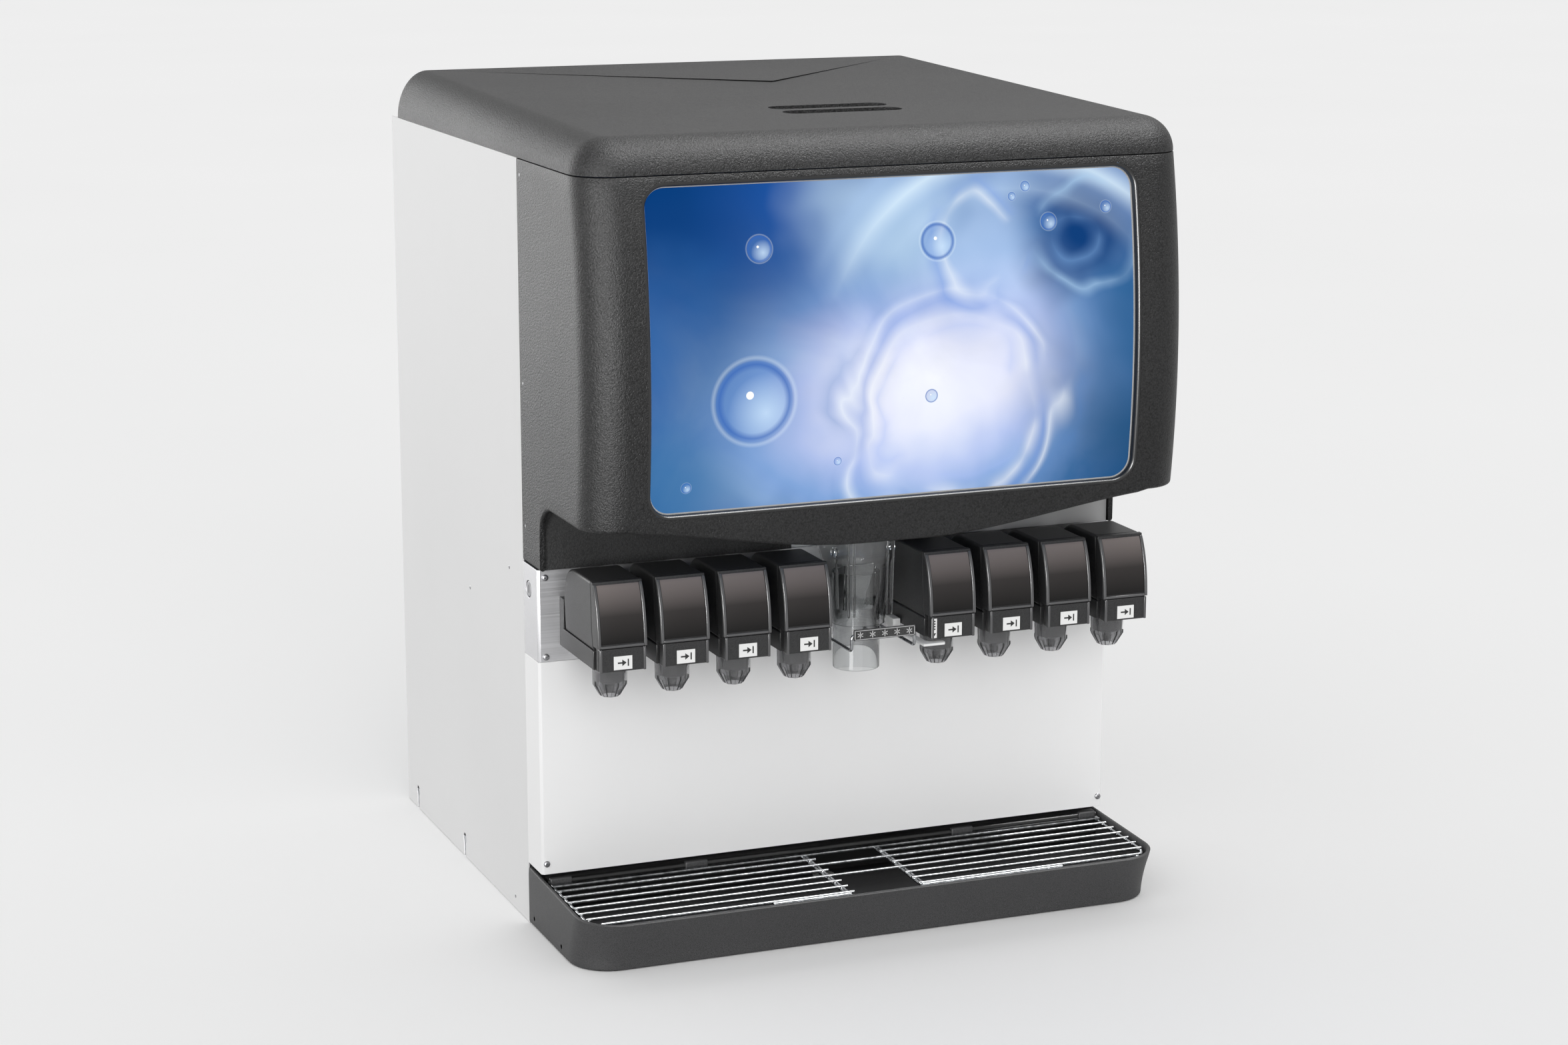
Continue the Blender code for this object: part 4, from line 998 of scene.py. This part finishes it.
def valve_shell():
    """Cover, curved front, ribs coloured light as painted highlight, and glossy insert of one
    valve, about x = 0.
    """
    y0, half, seam = SIDE_FRONT, VALVE_HALF, VALVE_SEAM + 0.4
    side = [(y0 - 76, seam), (y0 - 71, 430), (y0 - 73, 437)]
    side += arc(y0 - 108, 433.5, 36, 15, 75, 8)
    side += [(y0 - 172.6, VALVE_TOP), (y0 - 174.5, 448), (y0 - 176.2, 414), (y0 - 180.6, seam)]
    cover = prism("x", side, 0.4 - half, half - 0.4)
    face = [(p.x + 1.2, p.y) for p in (front_curve(i / 16) for i in range(17))]
    face += [(y0 - 179.5, 469.3), (y0 - 173.4, VALVE_TOP), (y0 - 175.2, 448), (y0 - 176.9, 414),
             (y0 - 181.4, seam), (y0 - 181.4, KEY_TOP + 0.5)]
    front = prism("x", face, -half, half)
    ribs = front_strip(0.3 - half, -26.4, 0.0, 1.0, 0.6, 3.0)
    front_strip(26.4, half - 0.3, 0.0, 1.0, 0.6, 3.0, ribs)
    front_strip(-26.6, 26.6, 0.0, 0.035, 0.5, 2.0, ribs, 2)
    label = front_strip(-26.0, 26.0, 0.05, 0.985, -0.35, 1.6)
    return ([solid("valve_shell", cover, "valve", 3.2, 5, 25),
             solid("valve_front", front, "valve", 1.6, 4, 25),
             solid("valve_ribs", ribs, "valve_edge", 1.0, 3, 40)],
            [solid("valve_label", label, "label", 0.35, 2, 40)])


def valve_key():
    """Push key with ribs at its sides, coloured light as painted highlight, and its small sticker
    with a plain arrow.
    """
    low, high = corners("push_key_1")
    half, y = (high.x - low.x) / 2, low.y + 0.9
    block = box((-half, low.y + 1.0, low.z + 0.2), (half, high.y - 8, high.z - 0.3))
    ribs = bmesh.new()
    for x0, x1 in ((-half, 3.2 - half), (half - 3.2, half)):
        box((x0, low.y, low.z), (x1, low.y + 8, high.z), ribs)
    rim = box((-12.4, y - 0.1, 366.4), (12.4, y + 0.3, 384.6))
    card = box((-11.4, y - 0.25, 367.4), (11.4, y + 0.2, 383.6))
    arrow = [(-6.5, 374.6), (-1.0, 374.6), (-1.0, 371.6), (4.2, 375.5), (-1.0, 379.4),
             (-1.0, 376.4), (-6.5, 376.4)]
    marks = prism("y", arrow, y - 0.4, y - 0.1)
    box((5.6, y - 0.4, 371.2), (7.2, y - 0.1, 379.8), marks)
    return ([solid("valve_key", block, "valve", 1.2, 3),
             solid("valve_key_ribs", ribs, "valve_edge", 0.9, 3)],
            [solid("tag_edge", rim, "ink"), solid("tag_card", card, "sticker"),
             solid("tag_mark", marks, "ink", smooth=False)])


def nozzle():
    """Smoky shell with eight flat sides and a dark strip at each edge, painted shade along the
    edges, over a dark core.
    """
    low, high = corners("nozzle_1")
    top, bottom, knee, centre = high.z, low.z, low.z + 15.0, (0, NOZZLE_Y)

    def facet(angle, z):
        """Eight flat sides below the round collar."""
        share = min(max((top - 8 - z) / 3, 0.0), 1.0)
        turn = (angle + math.pi / 16) % (math.pi / 4) - math.pi / 8
        return 1.0 - share * (1.0 - 0.99 * math.cos(math.pi / 8) / math.cos(turn))

    shell = [(20.6, top), (20.9, top - 5), (20.9, knee), (20.5, knee - 1), (15.0, bottom + 4.5),
             (12.6, bottom + 0.9), (11.8, bottom + 0.2), (11.0, bottom), (10.2, bottom + 0.8),
             (13.4, bottom + 5.5), (18.0, knee - 1.5), (18.6, knee), (18.6, top)]
    core = [(0.01, top), (16.8, top), (16.8, knee + 4), (12.0, knee + 2.5), (6.0, knee - 1),
            (4.6, bottom + 5), (0.01, bottom + 5)]
    section = [(-0.55, -1.2), (0.55, -1.2), (0.45, 0.35), (-0.45, 0.35)]
    # painted shade: dark strips in the shell wall at the facet edges stand for the darker
    # reflections there
    shade_fins = bmesh.new()
    for number in range(8):
        a = math.pi / 4 * number + math.pi / 16
        out, across = Vector((math.cos(a), math.sin(a), 0)), Vector((-math.sin(a), math.cos(a), 0))
        loft([[Vector((*centre, z)) + across * side + out * (radius + rise)
               for side, rise in section]
              for radius, z in ((20.4, knee + 4), (20.4, knee), (12.0, bottom + 1.0))], shade_fins)
    return [solid("nozzle_shell", lathe(shell, centre, 128, wobble=facet), "smoky", angle=14),
            solid("nozzle_core", lathe(core, centre, 32), "diffuser"),
            solid("nozzle_edge_shade", shade_fins, "diffuser")]


def joined_mesh(parts):
    """One mesh from several objects that share an origin, keeping their materials."""
    bpy.ops.object.select_all(action="DESELECT")
    for part in parts:
        part.select_set(True)
    bpy.context.view_layer.objects.active = parts[0]
    if len(parts) > 1:
        bpy.ops.object.join()
    mesh = parts[0].data
    bpy.data.objects.remove(parts[0], do_unlink=True)
    return mesh


def valves():
    """Eight valves that share the meshes of one, with the CAD bodies behind them."""
    (shell, insert), (key, tag) = valve_shell(), valve_key()
    patterns = [("valve_cover", joined_mesh(shell), "valve_plastic", "cabinet"),
                ("valve_insert", joined_mesh(insert), "valve_plastic", "cabinet"),
                ("push_key", joined_mesh(key), "valve_plastic", "key"),
                ("key_tag", joined_mesh(tag), "white_plastic", "key"),
                ("nozzle", joined_mesh(nozzle()), "smoky_plastic", "cabinet")]
    for number in range(1, 9):
        low, high = corners(f"valve_cover_{number}")
        for stem, mesh, slot, body in patterns:
            copy = bpy.data.objects.new(f"{stem}_piece_{number}", mesh)
            copy.location = ((low.x + high.x) / 2 * MM, 0, 0)
            bpy.context.scene.collection.objects.link(copy)
            node = f"{stem}_{number}"
            rides = f"key_{number}" if body == "key" else "cabinet"
            attach(copy, rides, slot, *([node] if node in nodes else []))
        softened(f"valve_body_{number}", f"valve_base_{number}", "valve", 0.8, "cabinet",
                 "valve_plastic", 2)


def water_tab():
    """White tab under the fifth valve, and the sticker beside it with bars and an arrow."""
    softened("water_lever", "water_tab_piece", "white_plastic", 0.8, "water_tab",
             "white_plastic")
    x, y = corners("valve_cover_5")[0].x + 5.2, KEY_FRONT + 0.6
    strip = box((x - 3.4, y - 0.3, 367), (x + 3.4, y + 0.2, 391))
    piece("arrow_strip", strip, "sticker", "key_5", "white_plastic")
    marks = bmesh.new()
    for row in range(4):
        z = 388.6 - 3.2 * row
        box((x - 1.4, y - 0.45, z - 1.8), (x + 1.4, y - 0.1, z), marks)
    arrow = [(x - 2.3, 373.0), (x, 369.4), (x + 2.3, 373.0)]
    prism("y", arrow, y - 0.45, y - 0.1, marks)
    piece("arrow_marks", marks, "ink", "key_5", "white_plastic", smooth=False)


# Ice path

def hood_loop(z, half_x, front, back, corner, wall=0.0):
    """The hood's rounded section at a height, inset by a wall."""
    radius = max(corner - wall, 1.0)
    x, front, back = half_x - wall - radius, front + wall + radius, back - wall - radius
    points = (arc(x, back, radius, 1, 88, 10) + arc(-x, back, radius, 91, 88, 10)
              + arc(-x, front, radius, 181, 88, 10) + arc(x, front, radius, 271, 88, 10))
    return [(TAP_CENTRE + px, py, z) for px, py in points]


def blend_stations(stations, steps=6):
    """Cubic blend between a few stations of numbers, for a smooth loft."""
    out = []
    for first, second in zip(stations, stations[1:]):
        for step in range(steps):
            t = step / steps
            k = smoothstep(t)
            out.append([first[0] + (second[0] - first[0]) * t]
                       + [a + (b - a) * k for a, b in zip(first[1:], second[1:])])
    out.append(list(stations[-1]))
    return out


SPOUT_RADIUS = 28.7


def ice_path():
    """Clear hood with its deflector, side ribs, hinge bosses and wings, over the round spout."""
    x, y, back = TAP_CENTRE, CHUTE_Y, HOOD_HIGH.y
    wall, top, low, r = 2.4, SPOUT_HIGH.z, SPOUT_LOW.z, SPOUT_RADIUS

    def clear(name, bm, *nodes_replaced, **finish):
        piece(name, bm, "clear", "cabinet", "clear_plastic", *nodes_replaced, **finish)

    stations = blend_stations([
        (HOOD_LOW.z, 33.5, y - 36, y + 36, 30.0), (440.0, 35.0, y - 41, y + 42, 24.0),
        (480.0, 37.0, y - 44, back - 6, 18.0), (530.0, 42.0, y - 42, back, 10.0),
        (HOOD_HIGH.z, 46.0, y - 20, back, 10.0)])
    outer = [hood_loop(*station) for station in stations]
    inner = [hood_loop(*station, wall=wall) for station in reversed(stations)]
    clear("ice_hood", loft(outer + inner, closed=True), "ice_chute", angle=50)
    profile = [(r, top), (r, low + 1), (r - 0.4, low + 0.2), (r - 1.2, low), (r - 2.0, low + 0.3),
               (r - 2.2, low + 1), (r - 2.2, top)]
    clear("ice_spout_tube", lathe(profile, (x, y), 72), "ice_spout")
    wings, ribs = bmesh.new(), bmesh.new()
    outline = [(39, 470), (47, 492), (66, 518), (72, 545), (40, 545), (36, 480)]
    for offset in (-27, -20, 22, 29):
        rod((x + offset, y - 40.6, 392), (x + offset * 1.05, y - 42.6, 486), 1.5, 16, ribs, 0.6)
    for side in (-1, 1):
        prism("y", [(x + side * px, pz) for px, pz in outline], SPLASH - 8.5, SPLASH - 6.2, wings)
        start = x + side * 33
        rod((start, y - 20, 470), (start + side * 7.5, y - 20, 470), 6.5, 24, ribs, 2.0)
        rod((start + side * 1.5, y - 24, 400), (start + side * 3, y - 24, 462), 1.6, 16, ribs, 0.6)
    clear("hood_wings", wings, edges=(0.8, 3))
    clear("hood_ribs", ribs)
    flap = [(y - 18, 396), (y - 22, 452), (y - 19.6, 453), (y - 15.6, 396)]
    brace = [(y - 20, 400), (y - 22, 450), (y + 18, 404), (y + 16, 400)]
    deflector = prism("x", flap, x - 24, x + 14)
    prism("x", brace, x + 14.4, x + 16.8, deflector)
    clear("hood_deflector", deflector, edges=(0.6, 2))


def ice_lever():
    """Bent wire lever and its push plate, marked with a rim and five plain stars."""
    x, front = 41.0, WIRE_LOW.y + 2.0
    low, high, bend = WIRE_LOW.z + 2.0, WIRE_HIGH.z - 2.0, 6.0
    half = [(0, front, high), (x - bend, front, high)]
    half += [(px, front, pz) for px, pz in arc(x - bend, high - bend, bend, 90, -90, 8)[1:]]
    half += [(x, py, pz) for py, pz in arc(front + bend, low + bend, bend, 180, 90, 8)]
    half.append((x, WIRE_HIGH.y, low))
    path = [(-px, py, pz) for px, py, pz in reversed(half[1:])] + half
    path = [(px + TAP_CENTRE, py, pz) for px, py, pz in path]
    attach(wire_curve("lever_wire", [path], 2.0, "chrome_wire"), "ice_lever", "stainless",
           "ice_lever_wire")
    plate_low, plate_high = corners("ice_lever_plate")
    piece("lever_plate", box(plate_low, plate_high), "plate", "ice_lever", "dark_plastic",
          "ice_lever_plate", edges=(0.8, 3))
    (x0, y0, z0), (x1, _, z1) = plate_low, plate_high
    depth, marks, middle = (y0 - 0.35, y0 + 0.2), bmesh.new(), (z0 + z1) / 2
    for left, foot, right, head in ((x0 + 1, z0 + 1, x1 - 1, z0 + 1.7),
                                    (x0 + 1, z1 - 1.7, x1 - 1, z1 - 1),
                                    (x0 + 1, z0 + 1, x0 + 1.7, z1 - 1),
                                    (x1 - 1.7, z0 + 1, x1 - 1, z1 - 1)):
        box((left, depth[0], foot), (right, depth[1], head), marks)
    for star in range(5):
        cx = x0 + (x1 - x0) * (star + 0.5) / 5
        for a in (math.radians(30), math.radians(90), math.radians(150)):
            c, s = math.cos(a), math.sin(a)
            spots = [(cx + c * u - s * v, middle + s * u + c * v)
                     for u, v in ((-4, -0.5), (4, -0.5), (4, 0.5), (-4, 0.5))]
            prism("y", spots, *depth, marks)
    piece("lever_plate_marks", marks, "pale_ink", "ice_lever", "dark_plastic", smooth=False)


# Stage

FLOOR_RADIUS = 40000.0
# Lights seen only in reflections: (name, place, size, watts)
SOFT_BOXES = [("left_box", (-2.7, -2.8, 0.95), 1.3, 330.0),
              ("rear_left_box", (-2.1, 3.3, 1.15), 2.3, 90.0),
              ("top_box", (1.1, -0.7, 3.7), 1.8, 330.0)]


def stage():
    """Pale floor and an even, bright studio, with soft boxes that only add highlights."""
    floor = bmesh.new()
    floor.faces.new([floor.verts.new(point) for point in circle(FLOOR_RADIUS, 64, -0.5)])
    shader = Shader("floor")
    tone = shader.ramp(shader.noise(0.7), [(0.3, 0.930), (0.7, 0.940)])
    shader.link(tone, "Base Color")
    LOOKS["floor"] = shader.set(rough=1.0, spec=0.0)
    finish_mesh("floor", floor, "floor", smooth=False)
    world = bpy.data.worlds.new("studio")
    bpy.context.scene.world = world
    world.use_nodes = True
    background = world.node_tree.nodes["Background"]
    background.inputs["Color"].default_value = (0.83, 0.83, 0.83, 1.0)
    background.inputs["Strength"].default_value = 0.95
    bpy.context.scene.view_settings.view_transform = "Standard"
    sun = lamp("sun", "SUN", (-2.0, -2.4, 3.2), 0.34)
    sun.data.angle = math.radians(50)
    front = lamp("front_fill", "SUN", (-0.6, -3.7, 1.5), 0.68)
    front.data.angle = math.radians(40)
    front.visible_glossy = False
    for name, place, size, watts in SOFT_BOXES:
        box_light = lamp(name, "AREA", place, watts)
        box_light.data.shape = "SQUARE"
        box_light.data.size = size
        box_light.visible_diffuse = False


def lamp(name, kind, place, energy):
    """A light aimed at the middle of the machine."""
    data = bpy.data.lights.new(name, kind)
    data.energy = energy
    light = bpy.data.objects.new(name, data)
    light.location = place
    light.rotation_mode = "QUATERNION"
    light.rotation_quaternion = (Vector((0, 0, 0.5)) - Vector(place)).to_track_quat("-Z", "Y")
    bpy.context.scene.collection.objects.link(light)
    return light


def camera():
    """Camera at the front left, a little above the lid."""
    data = bpy.data.cameras.new("camera")
    data.sensor_width = 36.0
    data.lens = 75.4
    view = bpy.data.objects.new("camera", data)
    azimuth, elevation = math.radians(-21.80), math.radians(12.50)
    view.location = (-1.5218, -3.8452, 1.3621)
    back = Vector((math.sin(azimuth) * math.cos(elevation),
                   -math.cos(azimuth) * math.cos(elevation), math.sin(elevation)))
    view.rotation_mode = "QUATERNION"
    view.rotation_quaternion = (-back).to_track_quat("-Z", "Y")
    bpy.context.scene.collection.objects.link(view)
    bpy.context.scene.camera = view


camera()
cabinet()
cabinet_screws()
key_switch()
canopy()
end_plate()
graphic()
lid()
drip_tray()
cup_rest()
valves()
water_tab()
ice_path()
ice_lever()
stage()
